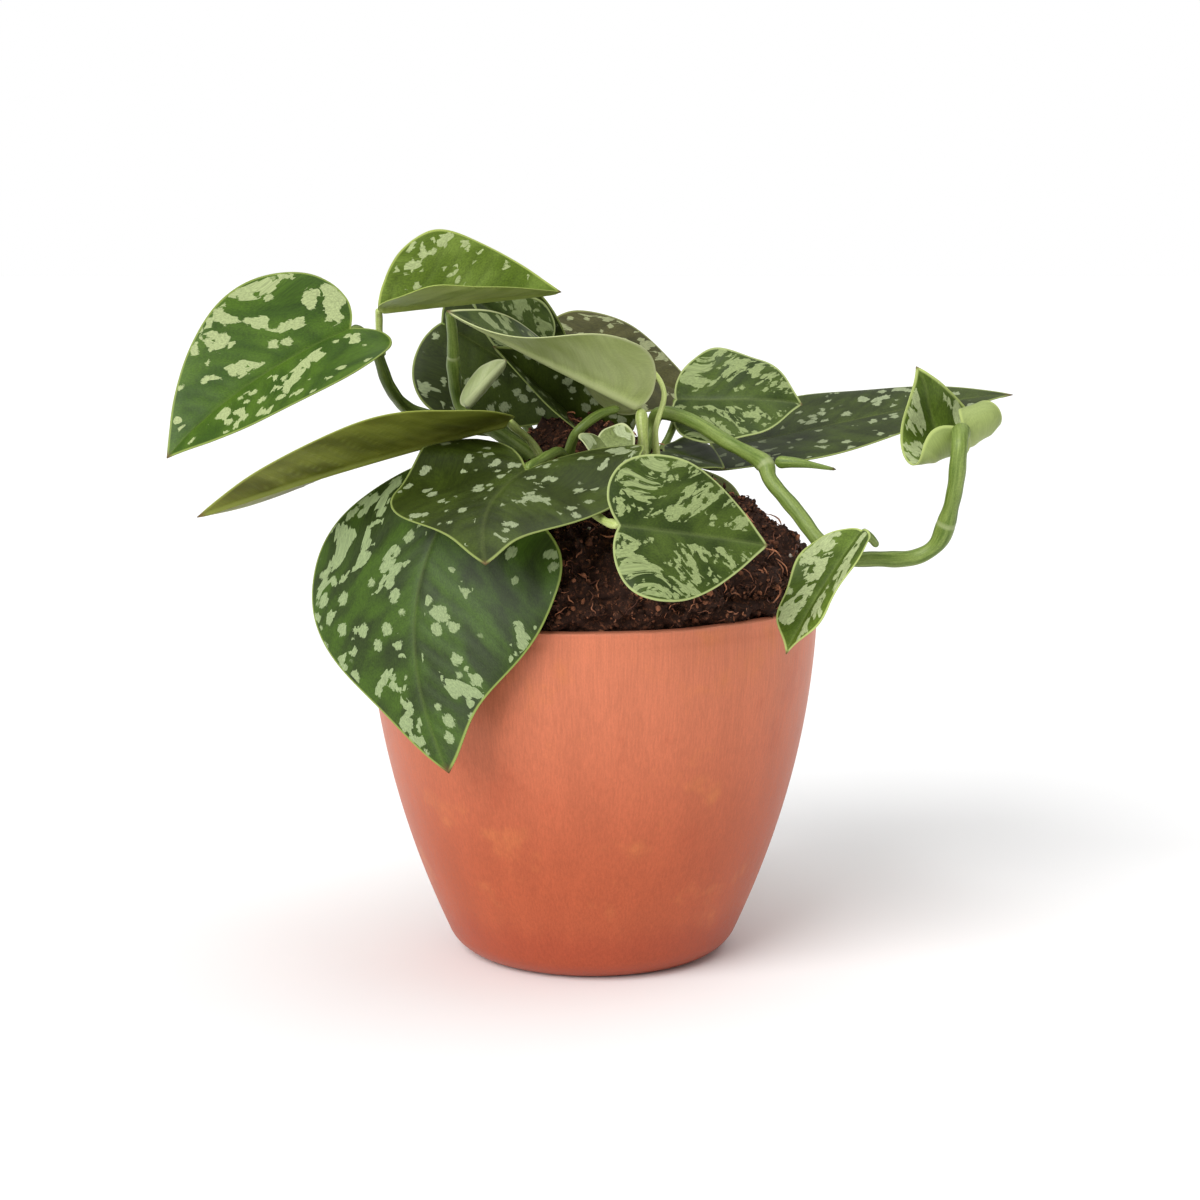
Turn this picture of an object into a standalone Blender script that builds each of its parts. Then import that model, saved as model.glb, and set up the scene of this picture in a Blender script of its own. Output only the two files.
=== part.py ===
"""Satin pothos in a flared copper-painted pot: pot, soil, folded heart leaves, stalks and one trailing vine.

Sizes are in millimetres and turned to metres once, by MM. The pot stands on Z = 0, centred on the Z axis,
and the side the plant is looked at from faces -Y. The foliage is laid out from the crown, which is the top
of the soil heap, and it scales with the mouth of the pot.
"""

import math

import bmesh
import bpy
import numpy as np

MM = 0.001

# ---- pot ------------------------------------------------------------------------------------------------
POT_HEIGHT = 100.0
MOUTH_RADIUS = 62.0
FOOT_NARROWING = 0.397  # how far the side has come in at the table, as a share of the mouth radius
FLARE_POWER = 1.95
FOOT_EDGE = 6.0  # radius of the rounded edge between side and base
WALL = 3.4
FLOOR = 6.0
RIM_ROUND = 1.4
POT_STEPS = 56

# ---- soil -----------------------------------------------------------------------------------------------
SOIL_HEAP = 34.0  # from the rim up to the crown
HEAP_POWER = 3.2  # how late the heap falls away towards the rim
SOIL_BULGE = 1.4  # how far the heap swells out over the rim
FIT_GAP = 0.35  # between bodies that would touch
SOIL_STEPS = 44

# ---- foliage --------------------------------------------------------------------------------------------
LAYOUT_RADIUS = 62.0  # the pot and the heap that the rows of foliage are laid out on
LAYOUT_MOUTH = 58.6
LAYOUT_HEAP = 34.0
LEAF_SCALE = MOUTH_RADIUS / LAYOUT_RADIUS
LEAF_THICKNESS = 0.8
LEAF_ROWS = 10
LEAF_COLUMNS = 3  # on each side of the midrib
STALK_SIDES = 1  # bevel resolution of the stalks

# Half outline of a blade, as (along, across) shares of the length and of the half width: one with round
# lobes behind the stalk, and one without.
LOBED = (
    (0, 0), (-0.045, 0.16), (-0.07, 0.36), (-0.055, 0.60), (0.01, 0.82), (0.12, 0.96),
    (0.27, 1.0), (0.45, 0.93), (0.63, 0.73), (0.80, 0.43), (0.92, 0.17), (1.0, 0),
)
OVATE = (
    (0, 0), (0.012, 0.15), (0.04, 0.34), (0.09, 0.58), (0.16, 0.80), (0.25, 0.95),
    (0.36, 1.0), (0.50, 0.92), (0.65, 0.73), (0.80, 0.45), (0.92, 0.18), (1.0, 0),
)
MIDRIB_START = 0.18

# Rows of the foliage.
LEAVES = [
    dict(name="high_left", base=(-65, -8, 39.5), tip=(-112.5, -28, 6.5), width=50,
         face=(-14, 36), fold=(20, 14), curl=(8, 0), bend=14, hook=10, sweep=-2),
    dict(name="top", base=(-58, -4, 44.5), tip=(-8.5, 6, 48.5), width=39,
         face=(0, 46), fold=(30, 58), lobe=(0, 0.3)),
    dict(name="left_long", base=(-22.5, -18, 15.5), tip=(-102.5, -44, -7), width=52,
         face=(180, 88), fold=(13, 10), bend=6, twist=34, lobe=(0.3, 0.3)),
    dict(name="front_hanging", base=(-33, -46, 1.5), tip=(-36.5, -68, -69.5), width=77,
         face=(-34, 24), fold=(-6, 4), curl=(-18, -20), bend=46, hook=-20, sweep=-10,
         lobe=(0, 1.3), drip=0.22),
    dict(name="front_left", base=(-17, -44, 5.5), tip=(-26, -90, -12.5), width=60,
         face=(-14, 70), fold=(-6, -2), curl=(-8, -10), hook=30, sweep=-4, lobe=(2.4, 2.4),
         lift=8, drip=0.3),
    dict(name="front_heart", base=(6.5, -74, -5), tip=(44, -68, -11), width=38,
         face=(8, 24), fold=(8, 8), curl=(-8, -8), bend=10, lobe=(1.2, 0.6)),
    dict(name="centre_under", base=(13, -12, 18.5), tip=(-38.5, -22, 45), width=40,
         face=(180, 48), fold=(20, 20), twist=-75, lobe=(0.4, 0.4)),
    dict(name="back_left", base=(-43.5, 42, 38), tip=(-2, 36, 11.5), width=51,
         face=(-5, 38), fold=(55, 2), curl=(0, -8), bend=14, lobe=(0.6, 0.6)),
    dict(name="back_upper", base=(-13.5, 22, 31.5), tip=(-34, 18, 46.5), width=22,
         face=(-5, 40), fold=(8, 8), curl=(-8, -8), bend=8, lobe=(0.6, 0.6)),
    dict(name="back_brown", base=(-15.5, 54, 29), tip=(33, 58, 13.5), width=39,
         face=(0, 50), fold=(8, 8), curl=(-12, -12), bend=18, lobe=(0.5, 0.5)),
    dict(name="right_heart", base=(23, 12, 18.5), tip=(58, 6, 17.5), width=33,
         face=(0, 44), fold=(8, 6), curl=(-5, -5), bend=8, hook=40, sweep=-2,
         lobe=(0.4, 0.4), drip=-0.3),
    dict(name="right_long", base=(34, 22, 3.5), tip=(119, 26, 18.5), width=44,
         face=(0, 74), fold=(8, 8), curl=(-15, -15), bend=-8, hook=15, lobe=(0.3, 1)),
    dict(name="vine_end", base=(96.5, -34, 15), tip=(85.5, -24, 30.5), width=29,
         face=(25, 10), fold=(4, 4), bend=-420, hook=260, lobe=(1.1, 2.4)),
    dict(name="vine_small", base=(70, -43, -10.5), tip=(49.5, -58, -40.5), width=23,
         face=(-45, 22), fold=(26, 4), bend=14, lobe=(0.2, 0.2), drip=-0.6),
    dict(name="middle_dark", base=(19.5, 8, 4.5), tip=(36.5, 0, 0.5), width=22,
         face=(0, 78), fold=(8, 8), curl=(-10, -10), bend=10),
    dict(name="diagonal", base=(2.5, 18, 5), tip=(-27.5, 9, 33.5), width=34,
         face=(10, 50), fold=(35, 70), bend=6),
    dict(name="grey_small", base=(1.5, -19, 11.5), tip=(8.5, -29, 2.5), width=16,
         face=(20, 30), fold=(20, 20), bend=10),
    dict(name="rolled", base=(-34.5, -5, 18), tip=(-23, -14, 31.5), width=16,
         face=(150, 40), fold=(60, 60), curl=(20, 20), bend=8),
    dict(name="back_hanging", base=(16, 58, -8), tip=(26, 92, -70), width=54,
         face=(164, 40), fold=(8, 8), curl=(-18, -18), bend=46),
    dict(name="back_low", base=(-26, 56, -12), tip=(-48, 88, -50), width=48,
         face=(208, 48), fold=(10, 10), curl=(-12, -12), bend=34),
]
STALKS = [
    ("left", 2.4, 1.4, 17, [
        (-16, 10, 1), (-24.5, 12, 9), (-32, 12, 10.5), (-42.5, 10, 13), (-51, 6, 16.5),
        (-55.5, -2, 23.5), (-58.5, -6, 33), (-62.5, -5, 37.5),
    ]),
    ("top", 1, 0.9, 6, [
        (-57, -1, 31), (-58, -1, 36.5), (-58, -2, 42),
    ]),
    ("spear", 2.2, 1.2, 15, [
        (-14, 2, 1.5), (-25.5, 5, 9.5), (-33, 8, 13), (-37, 9, 18), (-38, 4, 26.5), (-38, -4, 38),
        (-38.5, -9, 44.5),
    ]),
    ("left_long", 1.2, 1, 6, [
        (-12, -6, 1), (-16.5, -8, 8.5), (-21, -15, 13.5),
    ]),
    ("front_hanging", 1.6, 1.2, 8, [
        (-14, -17, -0.5), (-16.5, -22, 3.5), (-23, -34, 1.5), (-28.5, -42, 0.5),
    ]),
    ("front_left", 1.5, 1.2, 8, [
        (-6, -15, 0.5), (-8.5, -20, 7), (-11.5, -30, 7.5), (-14.5, -37, 6.5),
    ]),
    ("front_heart", 1.3, 1, 11, [
        (-1, -23, 0), (-1, -36, 1.5), (-0.5, -52, -3.5), (3, -66, -5), (5.5, -72, -5),
    ]),
    ("centre", 1.6, 1.5, 8, [
        (14, -12, 0.5), (13.5, -14, 6.5), (13.5, -14, 10.5), (13, -12, 17.5),
    ]),
    ("sheath", 1.3, 0.6, 13, [
        (18, -9, 0), (17, -9, 10), (17.5, -8, 14), (19.5, -4, 21), (17.5, 2, 26), (13, 6, 29.5),
    ]),
    ("arc", 1.6, 1.2, 11, [
        (-7, -8, 1.5), (-5.5, -16, 9.5), (-3, -18, 13.5), (2, -16, 17), (7.5, -15, 18.5),
    ]),
    ("vine", 2, 2.3, 30, [
        (13, 5, 1), (16.5, 7, 11.5), (19, 3, 15.5), (27, -3, 14), (36.5, -12, 9), (45.5, -20, 4.5),
        (47.5, -24, 0), (54, -30, -7.5), (60.5, -35, -15.5), (67.5, -36, -19), (74.5, -34, -19.5),
        (84.5, -32, -19.5), (90.5, -33, -16), (93, -35, -9.5), (94.5, -39, 0), (95, -41, 9.5),
        (95.5, -39, 13.5),
    ]),
    ("bud", 1.7, 0.3, 6, [
        (48.4, -23.2, 5), (55, -26, 5), (64.5, -28, 3.5),
    ]),
    ("right_heart", 1.3, 1, 6, [
        (17, 20, -1.5), (22.5, 26, 8.5), (23.5, 15, 16),
    ]),
    ("right_long", 1.3, 1, 6, [
        (27, 11, -2), (29.5, 20, -1.5), (32, 22, 0.5),
    ]),
    ("back_brown", 1.3, 1, 8, [
        (-1, 20, 0.5), (-7, 44, 10), (-12, 56, 19.5), (-14.5, 57, 26),
    ]),
    ("back_left", 1.5, 1.1, 8, [
        (-12, 19, 0), (-21, 38, 11), (-35.5, 46, 27.5), (-42, 43, 36),
    ]),
    ("back_upper", 1.2, 0.9, 8, [
        (-6, 9, 1), (-8.5, 22, 12.5), (-11, 26, 22), (-13, 24, 29),
    ]),
    ("vine_small", 1, 0.9, 6, [
        (74.5, -37.5, -15.5), (73, -40, -13.5), (71, -42, -11.5),
    ]),
    ("back_hanging", 1.8, 1.4, 6, [
        (8, 26, -1), (12, 42, -1), (15, 54, -7),
    ]),
    ("back_low", 1.5, 1.2, 6, [
        (-9, 30, -3), (-18, 44, -7), (-24.5, 53.5, -11),
    ]),
]


def spline(points, count):
    """Points evenly spaced in parameter on the smooth curve through the given ones."""
    points = np.asarray(points, float)
    ends = np.vstack([2 * points[0] - points[1], points, 2 * points[-1] - points[-2]])
    u = np.linspace(0, len(points) - 1, count)
    i = np.minimum(u.astype(int), len(points) - 2)
    f = (u - i)[:, None]
    a, b, c, d = ends[i], ends[i + 1], ends[i + 2], ends[i + 3]
    return 0.5 * (2 * b + (c - a) * f + (2 * a - 5 * b + 4 * c - d) * f**2 + (3 * b - a - 3 * c + d) * f**3)


def facing(around, up):
    """Unit vector turned `around` degrees from -Y towards +X, and raised `up` degrees."""
    a, e = math.radians(around), math.radians(up)
    return np.array([math.sin(a) * math.cos(e), -math.cos(a) * math.cos(e), math.sin(e)])


def from_crown(points):
    """Places given from the crown of the layout's heap, in mm, as places in the pot's frame, in mm.

    Each keeps its height over the soil below it, or over the rim where it is outside the mouth.
    """
    points = np.asarray(points, float)
    reach = np.hypot(points[..., 0], points[..., 1])
    above = points[..., 2] + LAYOUT_HEAP * np.minimum(reach / LAYOUT_MOUTH, 1) ** HEAP_POWER
    share = np.minimum(reach * LEAF_SCALE / (MOUTH_RADIUS - WALL), 1)
    places = points * LEAF_SCALE
    places[..., 2] = above * LEAF_SCALE + POT_HEIGHT + SOIL_HEAP * (1 - share**HEAP_POWER)
    return places


def leaf_axes(leaf):
    """The blade's own axes: along the midrib's chord, across it, and out of its upper side."""
    along = np.subtract(leaf["tip"], leaf["base"])
    along = along / np.linalg.norm(along)
    out = facing(*leaf["face"])
    out = out - (out @ along) * along
    out = out / np.linalg.norm(out)
    return along, np.cross(out, along), out


def leaf_grid(leaf):
    """Middle surface of a blade: rows from base to tip, columns from one margin to the other.

    Each half is an arc that starts at the fold angle and turns by the curl angle. `lift` raises the lobes
    behind the stalk, and `drip` narrows the blade before its tip. The midrib bends by `bend` evenly and by
    `hook` towards its tip. Its length is solved so that it spans base to tip.
    """
    rows, columns = LEAF_ROWS, LEAF_COLUMNS
    lobed, ovate = spline(LOBED, rows + 1), spline(OVATE, rows + 1)
    t, v = np.meshgrid(np.linspace(0, 1, rows + 1), np.linspace(-1, 1, 2 * columns + 1), indexing="ij")
    side = np.where(v >= 0, 0, 1)
    lobe = np.array(leaf.get("lobe", (1, 1)), float)[side]
    edge_x = ovate[:, :1] + lobe * (lobed[:, :1] - ovate[:, :1])
    edge_y = ovate[:, 1:] + lobe * (lobed[:, 1:] - ovate[:, 1:])
    edge_y = edge_y * (1 - leaf.get("drip", 0) * np.exp(-(((t - 0.83) / 0.1) ** 2)))
    start = np.clip((t - MIDRIB_START) / (1 - MIDRIB_START), 0, 1) ** 1.15
    x = start + (edge_x - start) * np.abs(v) ** 1.3
    h = edge_y * np.abs(v)
    fold = np.radians(np.array(leaf["fold"], float))[side]
    curl = np.radians(np.array(leaf.get("curl", (0, 0)), float))[side]
    curl = np.where(np.abs(curl) < 1e-3, 1e-3, curl)
    half = leaf["width"] / 2
    y = half / curl * (np.sin(fold + curl * h) - np.sin(fold)) * np.sign(v)
    z = -half / curl * (np.cos(fold + curl * h) - np.cos(fold))
    z = z + leaf.get("ripple", 1.0) * np.sin(9 * t + 3 * v) * h**2
    z = z + leaf.get("lift", 0) * np.clip((0.2 - x) / 0.25, 0, 1) ** 2 * h
    y = y + leaf.get("sweep", 0) * 4 * x * (1 - x)
    roll = np.radians(leaf.get("twist", 0)) * x
    y, z = y * np.cos(roll) - z * np.sin(roll), y * np.sin(roll) + z * np.cos(roll)

    s = np.linspace(-0.25, 1, 126)
    bend, hook = math.radians(leaf.get("bend", 0)), math.radians(leaf.get("hook", 0))
    heading = bend * s + hook * np.clip(s, 0, 1) ** 3
    step = s[1] - s[0]
    run = np.concatenate([[0], np.cumsum((np.cos(heading[1:]) + np.cos(heading[:-1])) / 2 * step)])
    drop = np.concatenate([[0], -np.cumsum((np.sin(heading[1:]) + np.sin(heading[:-1])) / 2 * step)])
    run, drop = run - np.interp(0, s, run), drop - np.interp(0, s, drop)
    chord = math.hypot(run[-1], drop[-1])
    length = np.linalg.norm(np.subtract(leaf["tip"], leaf["base"])) / chord
    turn = np.interp(x, s, heading)
    forward = np.interp(x, s, run) * length + z * np.sin(turn)
    rise = np.interp(x, s, drop) * length + z * np.cos(turn)
    c, d = run[-1] / chord, drop[-1] / chord
    forward, rise = forward * c + rise * d, -forward * d + rise * c
    along, across, out = leaf_axes(leaf)
    places = leaf["base"] + forward[..., None] * along + y[..., None] * across + rise[..., None] * out
    return from_crown(places)


def clear_scene():
    for obj in list(bpy.data.objects):
        bpy.data.objects.remove(obj, do_unlink=True)


def finish_object(obj, collection, colour, roughness):
    collection.objects.link(obj)
    material = bpy.data.materials.new(obj.name)
    material.use_nodes = True
    shader = material.node_tree.nodes["Principled BSDF"]
    shader.inputs["Base Color"].default_value = (*colour, 1)
    shader.inputs["Roughness"].default_value = roughness
    obj.data.materials.append(material)
    return obj


def make_leaf(leaf, collection):
    """A blade: the middle surface, given its thickness by Solidify."""
    grid = leaf_grid(leaf) * MM
    mesh = bpy.data.meshes.new(leaf["name"])
    rows, columns = grid.shape[:2]
    index = np.arange(rows * columns).reshape(rows, columns)
    quads = np.stack([index[:-1, :-1], index[1:, :-1], index[1:, 1:], index[:-1, 1:]], -1).reshape(-1, 4)
    mesh.from_pydata(grid.reshape(-1, 3).tolist(), [], quads.tolist())
    work = bmesh.new()
    work.from_mesh(mesh)
    bmesh.ops.remove_doubles(work, verts=work.verts, dist=0.02 * MM)
    bmesh.ops.dissolve_degenerate(work, edges=work.edges, dist=0.01 * MM)
    work.to_mesh(mesh)
    work.free()
    mesh.shade_smooth()
    obj = bpy.data.objects.new("leaf_" + leaf["name"], mesh)
    thick = obj.modifiers.new("thickness", "SOLIDIFY")
    thick.thickness = LEAF_THICKNESS * MM
    thick.offset = 0
    thick.use_quality_normals = True
    return finish_object(obj, collection, (0.05, 0.13, 0.035), 0.45)


def make_stalk(name, points, first_radius, last_radius, collection, samples):
    """A stalk: a tube that tapers along the smooth path through the points."""
    path = from_crown(spline(points, samples)) * MM
    curve = bpy.data.curves.new(name, "CURVE")
    curve.dimensions = "3D"
    curve.bevel_depth = LEAF_SCALE * MM
    curve.bevel_resolution = STALK_SIDES
    curve.use_fill_caps = True
    line = curve.splines.new("POLY")
    line.points.add(samples - 1)
    radii = np.linspace(first_radius, last_radius, samples)
    for place, at, radius in zip(line.points, path, radii):
        place.co = (*at, 1)
        place.radius = radius
    line.use_smooth = True
    return finish_object(bpy.data.objects.new(name, curve), collection, (0.20, 0.33, 0.09), 0.5)


def make_turned(name, profile, steps, collection, colour, roughness):
    """A turned body: the profile, in the XZ plane, swept once round Z."""
    mesh = bpy.data.meshes.new(name)
    points = [(x * MM, 0, z * MM) for x, z in profile]
    mesh.from_pydata(points, [(i, i + 1) for i in range(len(points) - 1)], [])
    obj = bpy.data.objects.new(name, mesh)
    turn = obj.modifiers.new("turn", "SCREW")
    turn.axis = "Z"
    turn.steps = turn.render_steps = steps
    turn.use_merge_vertices = True
    turn.merge_threshold = 0.00001
    turn.use_smooth_shade = True
    return finish_object(obj, collection, colour, roughness)


def side_radius(z):
    """Outer radius of the pot's side at height z, before the foot edge is rounded."""
    below = (POT_HEIGHT - z) / POT_HEIGHT
    return MOUTH_RADIUS * (1 - FOOT_NARROWING * below**FLARE_POWER)


def inner_radius(z):
    return side_radius(max(z, FOOT_EDGE)) - WALL


def pot_profile():
    """Inner floor, up the inside, over the rim, down the outside, and across the base."""
    top = POT_HEIGHT
    heights = np.linspace(FLOOR + 5.0, top - RIM_ROUND, 9)
    inside = [(0, FLOOR), (inner_radius(FLOOR) - 6.0, FLOOR), (inner_radius(FLOOR + 1.5) - 1.5, FLOOR + 1.5)]
    inside += [(inner_radius(z), z) for z in heights]
    middle = MOUTH_RADIUS - WALL / 2
    rim = [(middle + WALL / 2 * math.sin(a), top - RIM_ROUND * (1 - math.cos(a))) for a in (-0.9, 0, 0.9)]
    outside = [(side_radius(z), z) for z in np.linspace(top - RIM_ROUND, FOOT_EDGE, 11)]
    foot = side_radius(FOOT_EDGE)
    edge = [
        (foot - FOOT_EDGE * (1 - math.cos(a)) - 0.45 * FOOT_EDGE * math.sin(a), FOOT_EDGE * (1 - math.sin(a)))
        for a in (0.5, 1.0, math.pi / 2)
    ]
    return inside + rim + outside + edge + [(0, 0)]


def soil_profile():
    """From the crown over the heap and down the inside of the pot to its floor."""
    top = POT_HEIGHT
    mouth = MOUTH_RADIUS - WALL
    shares = (0, 0.16, 0.32, 0.48, 0.62, 0.74, 0.84)
    heap = [(mouth * r, top + SOIL_HEAP * (1 - r**HEAP_POWER)) for r in shares]
    lip = [(mouth * 0.95, top + 0.36 * SOIL_HEAP), (mouth + SOIL_BULGE, top + 0.24 * SOIL_HEAP)]
    lip += [(mouth + SOIL_BULGE, top + 0.10 * SOIL_HEAP), (mouth - 1.2, top + 0.8)]
    heights = np.linspace(top - 2.5, FLOOR + 5.0, 8)
    side = [(inner_radius(z) - 2 * FIT_GAP, z) for z in heights]
    floor = FLOOR + FIT_GAP
    foot = [(inner_radius(FLOOR) - 7.0, floor), (0, floor)]
    return heap + lip + side + foot


def main():
    clear_scene()
    collection = bpy.data.collections.new("potted_pothos")
    bpy.context.scene.collection.children.link(collection)
    make_turned("pot", pot_profile(), POT_STEPS, collection, (0.60, 0.16, 0.08), 0.5)
    make_turned("soil", soil_profile(), SOIL_STEPS, collection, (0.05, 0.022, 0.014), 0.95)
    for leaf in LEAVES:
        make_leaf(leaf, collection)
    for name, first, last, samples, points in STALKS:
        make_stalk("stem_" + name, points, first, last, collection, samples)


main()
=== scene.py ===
"""Satin pothos in a flared copper-painted pot: the finished look, built round its frame.

Lengths are in millimetres and turned to metres once, by MM. The foliage is laid out from the crown of the
soil heap, as in the frame, and each blade and each stalk stands for its own node there.
"""

from __future__ import annotations

import logging
import math
from dataclasses import dataclass
from enum import Enum
from itertools import product

import bpy
import numpy as np
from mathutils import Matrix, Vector


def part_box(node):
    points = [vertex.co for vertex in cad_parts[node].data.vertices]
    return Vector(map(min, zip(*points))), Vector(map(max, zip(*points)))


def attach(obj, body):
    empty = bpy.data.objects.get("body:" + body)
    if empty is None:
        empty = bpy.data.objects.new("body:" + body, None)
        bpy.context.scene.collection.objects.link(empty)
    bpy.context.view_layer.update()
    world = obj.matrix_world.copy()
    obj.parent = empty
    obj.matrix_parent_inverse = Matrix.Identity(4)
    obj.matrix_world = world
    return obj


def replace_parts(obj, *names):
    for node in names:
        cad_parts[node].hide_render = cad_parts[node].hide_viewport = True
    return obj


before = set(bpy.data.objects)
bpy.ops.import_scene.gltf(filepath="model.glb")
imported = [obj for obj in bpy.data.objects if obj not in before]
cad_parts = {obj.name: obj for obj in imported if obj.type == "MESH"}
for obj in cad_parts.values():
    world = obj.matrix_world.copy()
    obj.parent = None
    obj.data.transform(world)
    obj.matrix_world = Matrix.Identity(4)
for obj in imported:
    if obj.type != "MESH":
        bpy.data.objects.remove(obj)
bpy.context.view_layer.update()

LOG = logging.getLogger("potted_pothos")
MM = 0.001
TO_MM = 1000.0
Triple = tuple[float, float, float]
Pair = tuple[float, float]


# ---- measures read from the frame -----------------------------------------------------------------------
def top_of(node: str) -> float:
    """Height of a node's highest point, in mm."""
    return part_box(node)[1].z * TO_MM


RIM = top_of("pot")
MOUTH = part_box("pot")[1].x * TO_MM
CROWN = top_of("soil")
LAYOUT_MOUTH = 62.0  # the pot radius that the foliage rows are laid out on
POT_WALL = 3.4
LEAF_SCALE = MOUTH / LAYOUT_MOUTH


# ---- helpers for shapes ---------------------------------------------------------------------------------
def spline(points: np.ndarray, count: int) -> np.ndarray:
    """Smooth curve through points: a Catmull-Rom curve read at even steps of its parameter.

    Args:
        points: the places it passes through, one a row.
        count: how many points to return.

    Returns:
        The curve's points, one a row.
    """
    points = np.asarray(points, float)
    ends = np.vstack([2 * points[0] - points[1], points, 2 * points[-1] - points[-2]])
    u = np.linspace(0, len(points) - 1, count)
    i = np.minimum(u.astype(int), len(points) - 2)
    f = (u - i)[:, None]
    a, b, c, d = ends[i], ends[i + 1], ends[i + 2], ends[i + 3]
    return 0.5 * (2 * b + (c - a) * f + (2 * a - 5 * b + 4 * c - d) * f**2 + (3 * b - a - 3 * c + d) * f**3)


def eased(value: np.ndarray, low: float, high: float) -> np.ndarray:
    """Smooth step: 0 below low, 1 above high, and 3s² - 2s³ of the share between."""
    share = np.clip((value - low) / (high - low), 0, 1)
    return share * share * (3 - 2 * share)


def unit(vectors: np.ndarray) -> np.ndarray:
    """The same directions at length one."""
    return vectors / np.maximum(np.linalg.norm(vectors, axis=-1, keepdims=True), 1e-9)


def lattice_noise(points: np.ndarray, seed: int) -> np.ndarray:
    """Smooth noise from -1 to 1: hashed values on the unit lattice, eased between its corners."""
    cell = np.floor(points).astype(np.int64)
    f = points - cell
    f = f * f * (3 - 2 * f)
    total = np.zeros(points.shape[:-1])
    for corner in product((0, 1), repeat=3):
        at = cell + corner
        key = (at[..., 0] * 73856093) ^ (at[..., 1] * 19349663) ^ (at[..., 2] * 83492791)
        key = key ^ (seed * 2654435761)
        key = ((key ^ (key >> 13)) * 1274126177) & 0xFFFFFFFF
        value = ((key ^ (key >> 15)) & 0xFFFF) / 32767.5 - 1
        total += value * np.prod(np.where(corner, f, 1 - f), axis=-1)
    return total


def rough_noise(points: np.ndarray, size: float, octaves: int, seed: int) -> np.ndarray:
    """Octaves of lattice noise, each at half the size and 0.55 of the strength of the one before."""
    return sum(0.55**k * lattice_noise(points / size * 2**k, seed + k) for k in range(octaves))


@dataclass
class Surface:
    """A mesh in the making: places in mm, faces, and values at the points for its materials to read."""

    points: np.ndarray
    quads: np.ndarray
    triangles: np.ndarray
    values: dict[str, np.ndarray]
    face_slots: np.ndarray | None = None

    def to_object(self, name: str, materials: list[bpy.types.Material], slot: str) -> bpy.types.Object:
        """Makes the Blender object and has it ride on the root body.

        Args:
            name: the object's name.
            materials: its materials, in the order that face_slots counts them.
            slot: the name of a material slot to take its finish from; not used.

        Returns:
            The linked object.
        """
        mesh = bpy.data.meshes.new(name)
        mesh.from_pydata((self.points * MM).tolist(), [], self.quads.tolist() + self.triangles.tolist())
        for key, value in self.values.items():
            kind, field = ("FLOAT", "value") if value.ndim == 1 else ("FLOAT_VECTOR", "vector")
            mesh.attributes.new(key, kind, "POINT").data.foreach_set(field, value.astype(np.float32).ravel())
        for material in materials:
            mesh.materials.append(material)
        if self.face_slots is not None:
            mesh.polygons.foreach_set("material_index", self.face_slots.astype(np.int32))
        mesh.shade_smooth()
        obj = bpy.data.objects.new(name, mesh)
        bpy.context.scene.collection.objects.link(obj)
        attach(obj, "root")
        return obj


def grid_quads(index: np.ndarray) -> np.ndarray:
    """The quads between neighbouring entries of a two-way index, turned so that row x column faces out."""
    return np.stack([index[:-1, :-1], index[1:, :-1], index[1:, 1:], index[:-1, 1:]], -1).reshape(-1, 4)


def split_collapsed(quads: np.ndarray) -> tuple[np.ndarray, np.ndarray]:
    """Sorts quads with welded corners: whole ones stay, ones with one welded side become triangles.

    Returns:
        The whole quads and the triangles.
    """
    same = quads == np.roll(quads, -1, axis=1)
    count = same.sum(1)
    return quads[count == 0], quads[count == 1][~same[count == 1]].reshape(-1, 3)


def weld_grid(points: np.ndarray) -> tuple[np.ndarray, np.ndarray]:
    """Finds which places of a grid coincide, to five decimals of a millimetre.

    Returns:
        For each kept point its first place in the flat grid, and the grid of kept-point numbers.
    """
    flat = np.round(points.reshape(-1, 3), 5)
    _, first, index = np.unique(flat, axis=0, return_index=True, return_inverse=True)
    return first, index.reshape(points.shape[:2])


def point_normals(points: np.ndarray, quads: np.ndarray, triangles: np.ndarray) -> np.ndarray:
    """Normal at each point: the area-weighted mean of the normals of the faces round it."""
    normals = np.zeros_like(points)
    corners = points[quads]
    faces = np.cross(corners[:, 2] - corners[:, 0], corners[:, 3] - corners[:, 1])
    for k in range(4):
        np.add.at(normals, quads[:, k], faces)
    if len(triangles):
        corners = points[triangles]
        faces = np.cross(corners[:, 1] - corners[:, 0], corners[:, 2] - corners[:, 0])
        for k in range(3):
            np.add.at(normals, triangles[:, k], faces)
    return unit(normals)


# ---- helpers for finishes -------------------------------------------------------------------------------
PIGMENT = 0.78  # what a surface in the studio's light keeps of a colour as it is seen there


def paint(red: float, green: float, blue: float) -> tuple[float, float, float, float]:
    """A colour as seen in the studio, 0 to 255 each, as the linear colour that a shader takes."""
    parts = [c / 255 for c in (red, green, blue)]
    linear = [c / 12.92 if c <= 0.04045 else ((c + 0.055) / 1.055) ** 2.4 for c in parts]
    return (*(PIGMENT * c for c in linear), 1.0)


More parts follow.
